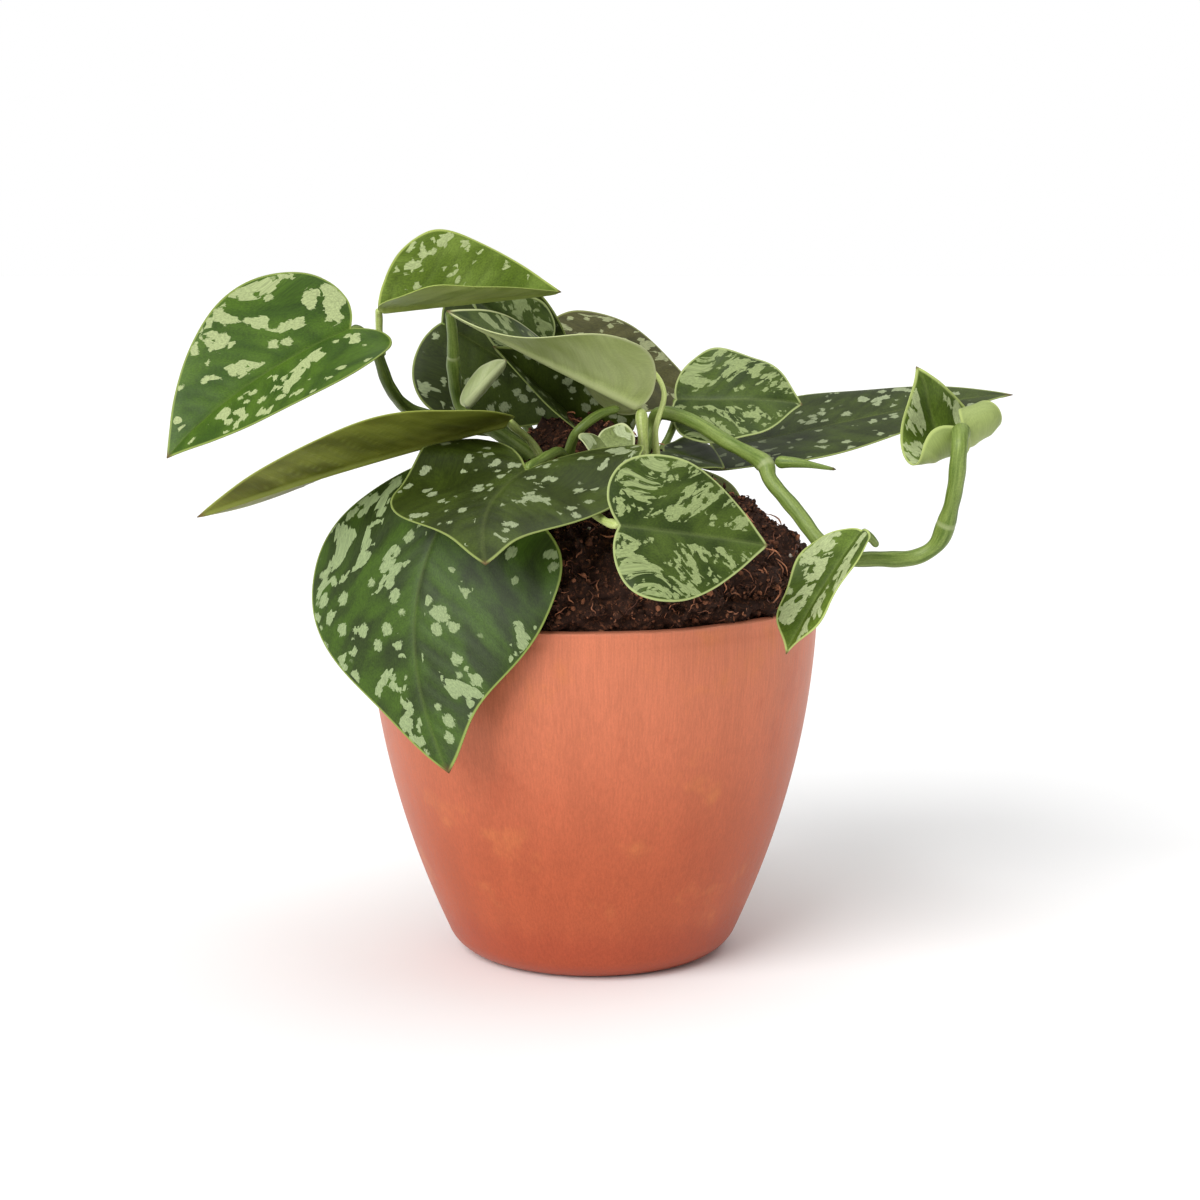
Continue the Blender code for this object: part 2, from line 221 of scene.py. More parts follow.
class Sheet:
    """The node sheet of one material, with a short method for each kind of node that the finishes use."""

    def __init__(self, name: str, roughness: float, specular: float = 0.5) -> None:
        """Starts a material with its plain values set on the shader's own sockets."""
        self.material = bpy.data.materials.new(name)
        self.material.use_nodes = True
        self.nodes = self.material.node_tree.nodes
        self.links = self.material.node_tree.links
        self.shader = self.nodes["Principled BSDF"]
        self.shader.inputs["Roughness"].default_value = roughness
        self.shader.inputs["Specular IOR Level"].default_value = specular

    def put(self, socket: bpy.types.NodeSocket, value: object) -> None:
        """Links a socket to another, or sets its plain value."""
        if isinstance(value, bpy.types.NodeSocket):
            self.links.new(value, socket)
        else:
            socket.default_value = value[:3] if socket.type == "VECTOR" else value

    def values(self, name: str) -> bpy.types.NodeSocket:
        """The vector of a point attribute."""
        node = self.nodes.new("ShaderNodeAttribute")
        node.attribute_name = name
        return node.outputs["Vector"]

    def value(self, name: str) -> bpy.types.NodeSocket:
        """The single number of a point attribute."""
        node = self.nodes.new("ShaderNodeAttribute")
        node.attribute_name = name
        return node.outputs["Fac"]

    def place(self) -> bpy.types.NodeSocket:
        """Places on the object in mm."""
        coordinates = self.nodes.new("ShaderNodeTexCoord").outputs["Object"]
        return self.scaled(coordinates, (TO_MM, TO_MM, TO_MM))

    def scaled(self, vector: bpy.types.NodeSocket, factors: Triple,
               shift: Triple = (0, 0, 0)) -> bpy.types.NodeSocket:
        """A vector times factors, plus a shift."""
        node = self.nodes.new("ShaderNodeVectorMath")
        node.operation = "MULTIPLY_ADD"
        self.put(node.inputs[0], vector)
        node.inputs[1].default_value = factors
        node.inputs[2].default_value = shift
        return node.outputs[0]

    def added(self, a: bpy.types.NodeSocket, b: bpy.types.NodeSocket) -> bpy.types.NodeSocket:
        """The sum of two vectors."""
        node = self.nodes.new("ShaderNodeVectorMath")
        self.put(node.inputs[0], a)
        self.put(node.inputs[1], b)
        return node.outputs[0]

    def parts(self, vector: bpy.types.NodeSocket) -> list[bpy.types.NodeSocket]:
        """The three parts of a vector."""
        node = self.nodes.new("ShaderNodeSeparateXYZ")
        self.put(node.inputs[0], vector)
        return list(node.outputs)

    def noise(self, vector: bpy.types.NodeSocket, detail: float = 2.0, rough: float = 0.5,
              colour: bool = False) -> bpy.types.NodeSocket:
        """Noise with a cell of about one unit of the vector."""
        node = self.nodes.new("ShaderNodeTexNoise")
        self.put(node.inputs["Vector"], vector)
        node.inputs["Scale"].default_value = 1.0
        node.inputs["Detail"].default_value = detail
        node.inputs["Roughness"].default_value = rough
        return node.outputs["Color" if colour else "Fac"]

    def cells(self, vector: bpy.types.NodeSocket) -> tuple[bpy.types.NodeSocket, bpy.types.NodeSocket]:
        """Scattered cells of about one unit: the distance to each cell's centre, and its chance number."""
        node = self.nodes.new("ShaderNodeTexVoronoi")
        self.put(node.inputs["Vector"], vector)
        node.inputs["Scale"].default_value = 1.0
        return node.outputs["Distance"], self.parts(node.outputs["Color"])[0]

    def maths(self, kind: str, a: object, b: object = 0.0, c: object = 0.0) -> bpy.types.NodeSocket:
        """One sum on numbers or sockets."""
        node = self.nodes.new("ShaderNodeMath")
        node.operation = kind
        for socket, value in zip(node.inputs, (a, b, c)):
            self.put(socket, value)
        return node.outputs[0]

    def ramp(self, value: object, low: object, high: object, to_low: float = 0.0,
             to_high: float = 1.0) -> bpy.types.NodeSocket:
        """A smooth step of value between low and high."""
        node = self.nodes.new("ShaderNodeMapRange")
        node.interpolation_type = "SMOOTHSTEP"
        for name, given in zip(("Value", "From Min", "From Max", "To Min", "To Max"),
                               (value, low, high, to_low, to_high)):
            self.put(node.inputs[name], given)
        return node.outputs[0]

    def mix(self, share: object, a: object, b: object) -> bpy.types.NodeSocket:
        """Colour a where share is 0 and b where it is 1."""
        node = self.nodes.new("ShaderNodeMix")
        node.data_type = "RGBA"
        self.put(node.inputs[0], share)
        self.put(node.inputs[6], a)
        self.put(node.inputs[7], b)
        return node.outputs[2]

    def shade(self, colour: object, factor: object) -> bpy.types.NodeSocket:
        """A colour made brighter or darker by a factor."""
        node = self.nodes.new("ShaderNodeVectorMath")
        node.operation = "SCALE"
        self.put(node.inputs[0], colour)
        self.put(node.inputs["Scale"], factor)
        return node.outputs[0]

    def finish(self, colour: object, height: object | None = None, depth: float = 0.2,
               strength: float = 0.5, roughness: object | None = None) -> bpy.types.Material:
        """Joins the colour, and the relief in mm, to the shader.

        Args:
            colour: the base colour.
            height: relief from 0 to 1.
            depth: what a relief of 1 stands for, in mm.
            strength: how much of the relief shows.
            roughness: a socket that drives the roughness, where it varies.

        Returns:
            The material.
        """
        self.put(self.shader.inputs["Base Color"], colour)
        if roughness is not None:
            self.put(self.shader.inputs["Roughness"], roughness)
        if height is not None:
            bump = self.nodes.new("ShaderNodeBump")
            bump.inputs["Strength"].default_value = strength
            bump.inputs["Distance"].default_value = depth * MM
            self.put(bump.inputs["Height"], height)
            self.put(self.shader.inputs["Normal"], bump.outputs[0])
        return self.material


# ---- blades ---------------------------------------------------------------------------------------------
@dataclass(frozen=True)
class LeafFinish:
    """Colouring of a blade: greens, silver patches and flecks, pale margin and pale underside."""

    deep: Triple
    green: Triple
    silver: Triple
    margin: Triple
    under: Triple
    under_pale: Triple
    cover: float = 0.50  # noise level round which cells turn silver: lower means more silver
    across: float = 2.6  # mm, a cell's size along the midrib, or across the veins where it is veined
    along: float = 6.0  # mm, a cell's size across the blade, or along the veins where it is veined
    flecks: float = 0.08  # share of the small cells that hold a fleck
    fleck: float = 2.4  # mm, spacing of the flecks
    dense: float = 0.92  # the most of the cells that turn silver where patches crowd
    clear: float = 1.6  # mm on each side of the midrib with little silver
    frosted: float = 0.0  # how much more silver there is near the tip and the margin
    cluster: float = 9.0  # mm, size of the areas where patches crowd
    veined: bool = True  # whether the patches run along the veins
    gloss: float = 0.44  # roughness of the green

    def upper(self, name: str, seed: int, length: float) -> bpy.types.Material:
        """The upper side: angular cells turn silver, more of them where a broad noise is high.

        Args:
            name: the material's name.
            seed: shifts every noise, so that no two blades are marked alike.
            length: the blade's length in mm, which turns its share of length to mm.

        Returns:
            The material.
        """
        sheet = Sheet(name, self.gloss, 0.22)
        flow = sheet.values("flow")
        blade = sheet.values("blade")
        along, across, margin = sheet.parts(blade)
        from_rib = sheet.maths("ABSOLUTE", across)
        offset = (seed * 7.31 % 97, seed * 3.77 % 89, seed * 1.93 % 53)
        ragged = sheet.noise(sheet.scaled(flow, (0.75, 0.6, 0.9), offset), 4, 0.75, colour=True)
        jog = sheet.scaled(ragged, (3.0, 3.4, 0), (-1.5, -1.7, 0))
        flat = sheet.added(sheet.scaled(blade, (length, 1, 0)), jog)
        warped = sheet.added(flow, jog) if self.veined else flat
        crowds = sheet.scaled(flow, (1 / self.cluster, 0.75 / self.cluster, 1), offset[::-1])
        level = sheet.noise(crowds, 1.5)
        open_field = sheet.ramp(from_rib, self.clear + 1.6, self.clear - 0.4, 0.0, -0.3)
        open_field = sheet.maths("ADD", open_field, sheet.ramp(margin, 1.6, 0.4, 0.0, -0.1))
        tip = sheet.ramp(along, 0.62, 1.0, 0.0, self.frosted)
        edge = sheet.ramp(margin, 7.0, 1.0, 0.0, self.frosted * 0.8)
        open_field = sheet.maths("ADD", open_field, sheet.maths("MAXIMUM", tip, edge))
        level = sheet.maths("ADD", level, open_field)
        near, drawn = sheet.cells(sheet.scaled(warped, (1 / self.across, 1 / self.along, 1), offset))
        wanted = sheet.ramp(level, self.cover - 0.11, self.cover + 0.11, 0.0, self.dense)
        patches = sheet.maths("LESS_THAN", drawn, wanted)
        patches = sheet.maths("MULTIPLY", patches, sheet.ramp(near, 0.86, 0.78))
        distance, lot = sheet.cells(sheet.scaled(flat, (0.9 / self.fleck, 1 / self.fleck, 1), offset[::-1]))
        chosen = sheet.maths("LESS_THAN", lot, sheet.maths("ADD", self.flecks, open_field))
        flecks = sheet.maths("MULTIPLY", chosen, sheet.ramp(distance, 0.50, 0.44))
        silver = sheet.maths("MAXIMUM", patches, flecks)
        grain = sheet.noise(sheet.scaled(flow, (2.2, 1.8, 1), offset), 3, 0.8)
        broad = sheet.noise(sheet.scaled(flow, (0.11, 0.08, 1), offset), 2)
        green = sheet.mix(sheet.ramp(broad, 0.35, 0.65), paint(*self.deep), paint(*self.green))
        # Painted shade: the green is darkened along the side-vein grooves, as shade in those creases.
        green = sheet.shade(green, sheet.ramp(sheet.value("groove"), 0.0, 1.0, 1.0, 0.84))
        green = sheet.mix(sheet.ramp(from_rib, 0.9, 0.2, 0.0, 0.10), green, paint(*self.margin))
        pale = sheet.shade(paint(*self.silver), sheet.ramp(grain, 0.32, 0.66, 0.70, 1.12))
        colour = sheet.mix(silver, sheet.shade(green, sheet.ramp(grain, 0.3, 0.7, 0.72, 1.22)), pale)
        edge_line = sheet.ramp(margin, 0.75, 0.3, 0.0, 0.95)
        colour = sheet.mix(edge_line, colour, sheet.shade(paint(*self.margin), 1.12))
        colour = sheet.mix(sheet.value("scorch"), colour, paint(98, 62, 36))
        height = sheet.maths("MULTIPLY_ADD", silver, 0.35, sheet.maths("MULTIPLY", grain, 0.6))
        rough = sheet.ramp(silver, 0, 1, self.gloss, self.gloss + 0.1)
        return sheet.finish(colour, height, 0.16, 0.45, rough)

    def lower(self, name: str, seed: int) -> bpy.types.Material:
        """The underside: pale, with fine lines that run with the veins."""
        sheet = Sheet(name, self.gloss + 0.04, 0.25)
        flow = sheet.values("flow")
        blade = sheet.values("blade")
        _, across, margin = sheet.parts(blade)
        lines = sheet.noise(sheet.scaled(flow, (1.3, 0.07, 1), (seed, seed, 0)), 2, 0.6)
        grain = sheet.noise(sheet.scaled(flow, (2.6, 2.6, 1), (seed, 0, seed)), 2, 0.6)
        broad = sheet.noise(sheet.scaled(flow, (0.07, 0.06, 1), (seed, seed, seed)), 2)
        colour = sheet.mix(sheet.ramp(broad, 0.32, 0.68), paint(*self.under), paint(*self.under_pale))
        colour = sheet.shade(colour, sheet.ramp(lines, 0.35, 0.65, 0.94, 1.05))
        colour = sheet.shade(colour, sheet.ramp(grain, 0.3, 0.7, 0.93, 1.07))
        pale_vein = sheet.ramp(sheet.value("groove"), 0.2, 1.0, 0.0, 0.3)
        colour = sheet.mix(pale_vein, colour, paint(*self.margin))
        rib = sheet.ramp(sheet.maths("ABSOLUTE", across), 1.5, 0.5, 0.0, 0.65)
        colour = sheet.mix(rib, colour, paint(*self.margin))
        colour = sheet.mix(sheet.ramp(margin, 0.8, 0.3), colour, paint(*self.margin))
        colour = sheet.mix(sheet.value("scorch"), colour, paint(120, 84, 50))
        return sheet.finish(colour, sheet.maths("ADD", lines, grain), 0.12, 0.4)


class Tone(Enum):
    """The colourings that the plant's blades come in."""

    FRESH = LeafFinish(
        deep=(58, 88, 14), green=(80, 112, 24), silver=(184, 198, 138), margin=(140, 158, 76),
        under=(136, 154, 60), under_pale=(176, 192, 100), cover=0.585,
        across=3.2, along=3.8, flecks=0.13, fleck=3.0, veined=False)
    # A lighter copy of FRESH for the top blade; its underside colours are lightened as painted light, to
    # stand in for light where that side sits in shade.
    LIT_FRESH = LeafFinish(
        deep=(96, 120, 30), green=(122, 146, 56), silver=(188, 202, 140), margin=(172, 188, 96),
        under=(150, 168, 74), under_pale=(190, 204, 114), cover=0.60,
        across=2.6, along=3.2, flecks=0.10, fleck=2.8, veined=False)
    DARK = LeafFinish(
        deep=(50, 62, 16), green=(70, 86, 26), silver=(164, 176, 134), margin=(146, 160, 88),
        under=(100, 112, 42), under_pale=(130, 142, 62), cover=0.66,
        across=2.8, along=3.0, flecks=0.24, fleck=2.8, veined=False)
    VIVID = LeafFinish(
        deep=(50, 66, 24), green=(70, 98, 26), silver=(160, 178, 126), margin=(142, 160, 76),
        under=(98, 112, 42), under_pale=(126, 140, 62), cover=0.645,
        across=3.2, along=3.4, flecks=0.21, fleck=3.6, veined=False)
    SILVERED = LeafFinish(
        deep=(50, 68, 14), green=(78, 98, 32), silver=(156, 172, 112), margin=(172, 186, 118),
        under=(128, 142, 70), under_pale=(150, 164, 88), cover=0.53,
        across=1.25, along=2.9, flecks=0.16, fleck=1.5, dense=0.78, frosted=0.06, cluster=5.0)
    OLIVE = LeafFinish(
        deep=(66, 66, 24), green=(90, 88, 44), silver=(168, 174, 126), margin=(140, 146, 84),
        under=(110, 116, 52), under_pale=(132, 138, 70), cover=0.54,
        across=1.8, along=3.4, flecks=0.14, fleck=2.2)
    YOUNG = LeafFinish(
        deep=(76, 98, 24), green=(102, 126, 44), silver=(190, 204, 146), margin=(186, 202, 118),
        under=(138, 156, 80), under_pale=(164, 180, 106), cover=0.56, across=1.7, along=2.6, flecks=0.22,
        fleck=2.2, frosted=0.04)
    # Partly the underside's own pale colour, partly painted light: the under colours are lightened to stand
    # in for the sheen and light on an underside that sits in shade.
    PALE_LIT_BACK = LeafFinish(
        deep=(52, 70, 20), green=(78, 96, 36), silver=(158, 172, 118), margin=(206, 214, 154),
        under=(180, 194, 118), under_pale=(206, 218, 150), cover=0.56, across=2.2, along=3.4, flecks=0.12)
    OLIVE_BACK = LeafFinish(
        deep=(44, 56, 14), green=(66, 80, 26), silver=(150, 160, 106), margin=(158, 168, 74),
        under=(92, 98, 20), under_pale=(132, 140, 50), cover=0.56, across=2.2, along=3.4, flecks=0.12)
    GREY = LeafFinish(
        deep=(110, 124, 70), green=(140, 154, 96), silver=(188, 200, 154), margin=(204, 212, 160),
        under=(172, 186, 124), under_pale=(206, 216, 164), cover=0.58, across=1.8, along=3.2, flecks=0.05)


# Half outline of a blade, as (along, across) shares of the length and of the half width: one with round
# lobes behind the stalk, and one without.
LOBED = (
    (0, 0), (-0.045, 0.16), (-0.07, 0.36), (-0.055, 0.60), (0.01, 0.82), (0.12, 0.96),
    (0.27, 1.0), (0.45, 0.93), (0.63, 0.73), (0.80, 0.43), (0.92, 0.17), (1.0, 0),
)
OVATE = (
    (0, 0), (0.012, 0.15), (0.04, 0.34), (0.09, 0.58), (0.16, 0.80), (0.25, 0.95),
    (0.36, 1.0), (0.50, 0.92), (0.65, 0.73), (0.80, 0.45), (0.92, 0.18), (1.0, 0),
)
MIDRIB_START = 0.18  # share of the outline's steps that lie behind the stalk
VEIN_SPACING = 5.2  # mm
PUCKER = 0.10  # mm that the blade swells between its side veins
GROOVE_DEPTH = 0.06  # mm, at the side veins
MIDRIB_DEPTH = 0.25  # mm


@dataclass(frozen=True)
class Blade:
    """One leaf blade, placed by its base and tip in mm from the crown, with its own folds and curls.

    Angles are in degrees. A pair is for the two halves, but for face.
    """

    name: str
    base: Triple
    tip: Triple
    width: float  # mm, of the flat blade
    face: Pair  # the way that the upper side looks: round Z from the front, and up
    fold: Pair  # how much each half rises from the midrib
    curl: Pair = (0, 0)  # how much each half turns on from there to its margin
    bend: float = 0  # how much the midrib turns down, evenly along its length
    hook: float = 0  # how much more it turns down, most of it near the tip
    twist: float = 0  # how much the blade rolls round its midrib, from base to tip
    sweep: float = 0  # mm that the midrib bows to one side
    lobe: Pair = (1, 1)  # how much of the outline is LOBED and not OVATE
    lift: float = 0  # mm that the lobes behind the stalk rise
    drip: float = 0  # how much the blade narrows before its tip
    tone: Tone = Tone.DARK
    ripple: float = 1.0  # mm, broad waves across each half
    wave: float = 0.5  # mm, how far the margin waves
    thickness: float = 0.55
    rows: int = 84
    columns: int = 24  # on each side of the midrib

    def columns_across(self) -> np.ndarray:
        """Places across from -1 to 1, closer together at the midrib and right at the margin."""
        half = np.append(np.linspace(0, 1, self.columns + 1)[:-1] ** 1.35, (1 - 0.5 / self.width, 1))
        return np.concatenate([-half[:0:-1], half])

    def axes(self) -> tuple[np.ndarray, np.ndarray, np.ndarray]:
        """Unit vectors along the midrib's chord, across it, and out of the upper side."""
        along = unit(np.subtract(self.tip, self.base).astype(float))
        a, e = math.radians(self.face[0]), math.radians(self.face[1])
        out = np.array([math.sin(a) * math.cos(e), -math.cos(a) * math.cos(e), math.sin(e)])
        out = unit(out - (out @ along) * along)
        return along, np.cross(out, along), out

    def bent(self, x: np.ndarray, y: np.ndarray, z: np.ndarray) -> np.ndarray:
        """Lays flat coordinates on the bent midrib, whose heading is bend·s + hook·s³ at the share s.

        Args:
            x: share of the length.
            y: mm across.
            z: mm out of the upper side.

        Returns:
            Places in mm.
        """
        s = np.linspace(-0.25, 1, 126)
        heading = math.radians(self.bend) * s + math.radians(self.hook) * np.clip(s, 0, 1) ** 3
        step = s[1] - s[0]
        run = np.concatenate([[0], np.cumsum((np.cos(heading[1:]) + np.cos(heading[:-1])) / 2 * step)])
        drop = np.concatenate([[0], -np.cumsum((np.sin(heading[1:]) + np.sin(heading[:-1])) / 2 * step)])
        run, drop = run - np.interp(0, s, run), drop - np.interp(0, s, drop)
        chord = math.hypot(run[-1], drop[-1])
        length = self.span() / chord
        turn = np.interp(x, s, heading)
        forward = np.interp(x, s, run) * length + z * np.sin(turn)
        rise = np.interp(x, s, drop) * length + z * np.cos(turn)
        c, d = run[-1] / chord, drop[-1] / chord
        forward, rise = forward * c + rise * d, -forward * d + rise * c
        along, across, out = self.axes()
        places = self.base + forward[..., None] * along + y[..., None] * across + rise[..., None] * out
        return places * LEAF_SCALE + (0, 0, CROWN)

    def span(self) -> float:
        """Distance from base to tip, in mm."""
        return float(np.linalg.norm(np.subtract(self.tip, self.base)))

    def seed(self) -> int:
        """A number of the blade's own, from its name."""
        return sum(ord(letter) * (k + 1) for k, letter in enumerate(self.name)) % 997

    def surface(self) -> Surface:
        """The closed blade: an upper and a lower skin on a folded, curled and rippled middle surface.

        Each half of a row is an arc that starts at the fold angle and turns by the curl angle. Veins leave
        the midrib at start·length and drift towards the tip as they near the margin.

        Returns:
            The welded surface, with the vein and margin measures that its materials read.
        """
        lobed, ovate = spline(LOBED, self.rows + 1), spline(OVATE, self.rows + 1)
        t, v = np.meshgrid(np.linspace(0, 1, self.rows + 1), self.columns_across(), indexing="ij")
        side = np.where(v >= 0, 0, 1)
        lobe = np.array(self.lobe, float)[side]
        edge_x = ovate[:, :1] + lobe * (lobed[:, :1] - ovate[:, :1])
        edge_y = ovate[:, 1:] + lobe * (lobed[:, 1:] - ovate[:, 1:])
        edge_y = edge_y * (1 - self.drip * np.exp(-(((t - 0.83) / 0.1) ** 2)))
        start = np.clip((t - MIDRIB_START) / (1 - MIDRIB_START), 0, 1) ** 1.15
        x = start + (edge_x - start) * np.abs(v) ** 1.3
        h = edge_y * np.abs(v)
        half = self.width / 2
        fold = np.radians(np.array(self.fold, float))[side]
        curl = np.radians(np.array(self.curl, float))[side]
        curl = np.where(np.abs(curl) < 1e-3, 1e-3, curl)
        y = half / curl * (np.sin(fold + curl * h) - np.sin(fold)) * np.sign(v)
        z = -half / curl * (np.cos(fold + curl * h) - np.cos(fold))
        phase = self.seed() % 7
        z = z + self.ripple * np.sin(9 * t + 3 * v) * h**2
        z = z + self.lift * np.clip((0.2 - x) / 0.25, 0, 1) ** 2 * h
        z = z + self.wave * np.sin(21 * t + phase + 2 * side) * h**2 * np.abs(v) ** 4
        y = y + self.sweep * 4 * x * (1 - x)

        length = self.span()
        across = h * half
        near_base = eased(x, -0.05, 0.3)
        slant = (-0.35 + 0.9 * near_base) * across + 0.30 * across**2 / half
        vein = x * length - slant
        distance = across * (1 + 0.2 * near_base)
        wander = 0.6 * np.sin(0.31 * distance + phase) * np.minimum(across / 6, 1)
        to_vein = (vein + wander) / VEIN_SPACING + 0.37 * side + phase / 7
        to_vein = np.abs(to_vein - np.round(to_vein)) * VEIN_SPACING
        fade = np.minimum(across / 3, 1) * eased((1 - np.abs(v)) * edge_y * half, 0.5, 5)
        groove = np.exp(-((to_vein / 0.75) ** 2)) * fade
        z = z - 0.5 * PUCKER * np.cos(2 * np.pi * to_vein / VEIN_SPACING) * fade - GROOVE_DEPTH * groove
        rib = (1 - np.clip(x, 0, 1)) ** 0.6
        z = z - MIDRIB_DEPTH * np.exp(-((across / 0.9) ** 2)) * (0.3 + 0.7 * rib)
        roll = np.radians(self.twist) * x
        y, z = y * np.cos(roll) - z * np.sin(roll), y * np.sin(roll) + z * np.cos(roll)
        middle = self.bent(x, y, z)

        first, index = weld_grid(middle)
        points = middle.reshape(-1, 3)[first]
        quads, triangles = split_collapsed(grid_quads(index))
        normals = point_normals(points, quads, triangles)
        outline = np.stack([x * length, across * np.sign(v)], -1)
        ring_places = np.concatenate([outline[:, -1], outline[::-1, 0]])
        flat = outline.reshape(-1, 2)[first]
        margin = np.sqrt(((flat[:, None] - ring_places[None]) ** 2).sum(-1)).min(1)
        skin = self.thickness * (0.45 + 0.55 * eased(margin, 0, 2.5))
        x_at, across_at = x.ravel()[first], across.ravel()[first]
        rib_at = rib.ravel()[first]
        keel = (0.25 + 1.0 * rib_at) * np.exp(-((across_at / (0.45 + 0.75 * rib_at)) ** 2))
        keel = keel * eased(margin, 0, 1.2) + 0.14 * groove.ravel()[first]
        upper = points + normals * (skin / 2)[:, None]
        lower = points - normals * (skin / 2 + keel)[:, None]

        ring = np.concatenate([index[:, -1], index[::-1, 0]])
        ring = ring[ring != np.roll(ring, 1)]
        after = np.roll(ring, -1)
        count = len(points)
        rim = np.stack([ring, after, after + count, ring + count], -1)
        all_quads = np.vstack([quads, quads[:, ::-1] + count, rim])
        all_triangles = np.vstack([triangles, triangles[:, ::-1] + count])
        slots = np.concatenate([np.zeros(len(quads)), np.ones(len(quads)), np.zeros(len(rim)),
                                np.zeros(len(triangles)), np.ones(len(triangles))])
        signed = (across * np.sign(v)).ravel()[first]
        flow = np.stack([vein.ravel()[first], distance.ravel()[first], 11.0 * side.ravel()[first]], -1)
        blade = np.stack([x_at, signed, margin], -1)
        scorch = eased(x_at, 0.965, 0.995) * 0.9
        return Surface(
            np.vstack([upper, lower]), all_quads, all_triangles,
            {"flow": np.tile(flow, (2, 1)), "blade": np.tile(blade, (2, 1)),
             "groove": np.tile(groove.ravel()[first], 2), "scorch": np.tile(scorch, 2)}, slots)

    def build(self) -> bpy.types.Object:
        """Makes the blade with its two finishes, in place of its node."""
        finish = self.tone.value
        materials = [finish.upper(f"{self.name}_upper", self.seed(), self.span()),
                     finish.lower(f"{self.name}_lower", self.seed())]
        young = self.tone in (Tone.YOUNG, Tone.GREY)
        obj = self.surface().to_object("blade_" + self.name, materials, "young_leaf" if young else "leaf")
        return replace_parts(obj, "leaf_" + self.name)


BLADES = (
    Blade("high_left", (-65, -8, 39.5), (-112.5, -28, 6.5), 50, (-14, 36), (20, 14), (8, 0),
          bend=14, hook=10, sweep=-2, tone=Tone.FRESH),
    Blade("top", (-58, -4, 44.5), (-8.5, 6, 48.5), 39, (0, 46), (30, 58), lobe=(0, 0.3), tone=Tone.LIT_FRESH),
    Blade("left_long", (-22.5, -18, 15.5), (-102.5, -44, -7), 52, (180, 88), (13, 10),
          bend=6, twist=34, lobe=(0.3, 0.3), tone=Tone.OLIVE_BACK),
    Blade("front_hanging", (-33, -46, 1.5), (-36.5, -68, -69.5), 77, (-34, 24), (-6, 4), (-18, -20),
          bend=46, hook=-20, sweep=-10, lobe=(0, 1.3), drip=0.22, tone=Tone.VIVID, rows=100, columns=32),
    Blade("front_left", (-17, -44, 5.5), (-26, -90, -12.5), 60, (-14, 70), (-6, -2), (-8, -10),
          hook=30, sweep=-4, lobe=(2.4, 2.4), lift=8, drip=0.3, tone=Tone.DARK, rows=90, columns=30),
    Blade("front_heart", (6.5, -74, -5), (44, -68, -11), 38, (8, 24), (8, 8), (-8, -8),
          bend=10, lobe=(1.2, 0.6), tone=Tone.SILVERED),
    Blade("centre_under", (13, -12, 18.5), (-38.5, -22, 45), 40, (180, 48), (20, 20),
          twist=-75, lobe=(0.4, 0.4), tone=Tone.PALE_LIT_BACK),
    Blade("back_left", (-43.5, 42, 38), (-2, 36, 11.5), 51, (-5, 38), (55, 2), (0, -8),
          bend=14, lobe=(0.6, 0.6), tone=Tone.DARK),
    Blade("back_upper", (-13.5, 22, 31.5), (-34, 18, 46.5), 22, (-5, 40), (8, 8), (-8, -8),
          bend=8, lobe=(0.6, 0.6), tone=Tone.SILVERED),
    Blade("back_brown", (-15.5, 54, 29), (33, 58, 13.5), 39, (0, 50), (8, 8), (-12, -12),
          bend=18, lobe=(0.5, 0.5), tone=Tone.OLIVE),
    Blade("right_heart", (23, 12, 18.5), (58, 6, 17.5), 33, (0, 44), (8, 6), (-5, -5),
          bend=8, hook=40, sweep=-2, lobe=(0.4, 0.4), drip=-0.3, tone=Tone.SILVERED),
    Blade("right_long", (34, 22, 3.5), (119, 26, 18.5), 44, (0, 74), (8, 8), (-15, -15),
          bend=-8, hook=15, lobe=(0.3, 1), tone=Tone.DARK),
    Blade("vine_end", (96.5, -34, 15), (85.5, -24, 30.5), 29, (25, 10), (4, 4),
          bend=-420, hook=260, lobe=(1.1, 2.4), tone=Tone.YOUNG, rows=110),
    Blade("vine_small", (70, -43, -10.5), (49.5, -58, -40.5), 23, (-45, 22), (26, 4),
          bend=14, lobe=(0.2, 0.2), drip=-0.6, tone=Tone.YOUNG),
    Blade("middle_dark", (19.5, 8, 4.5), (36.5, 0, 0.5), 22, (0, 78), (8, 8), (-10, -10),
          bend=10, tone=Tone.DARK),
    Blade("diagonal", (2.5, 18, 5), (-27.5, 9, 33.5), 34, (10, 50), (35, 70), bend=6, tone=Tone.DARK),
    Blade("grey_small", (1.5, -19, 11.5), (8.5, -29, 2.5), 16, (20, 30), (20, 20), bend=10, tone=Tone.GREY,
          rows=40, columns=12),
    Blade("rolled", (-34.5, -5, 18), (-23, -14, 31.5), 16, (150, 40), (60, 60), (20, 20),
          bend=8, tone=Tone.GREY, rows=48, columns=14),
    Blade("back_hanging", (16, 58, -8), (26, 92, -70), 54, (164, 40), (8, 8), (-18, -18),
          bend=46, tone=Tone.DARK),
    Blade("back_low", (-26, 56, -12), (-48, 88, -50), 48, (208, 48), (10, 10), (-12, -12),
          bend=34, tone=Tone.SILVERED),
)


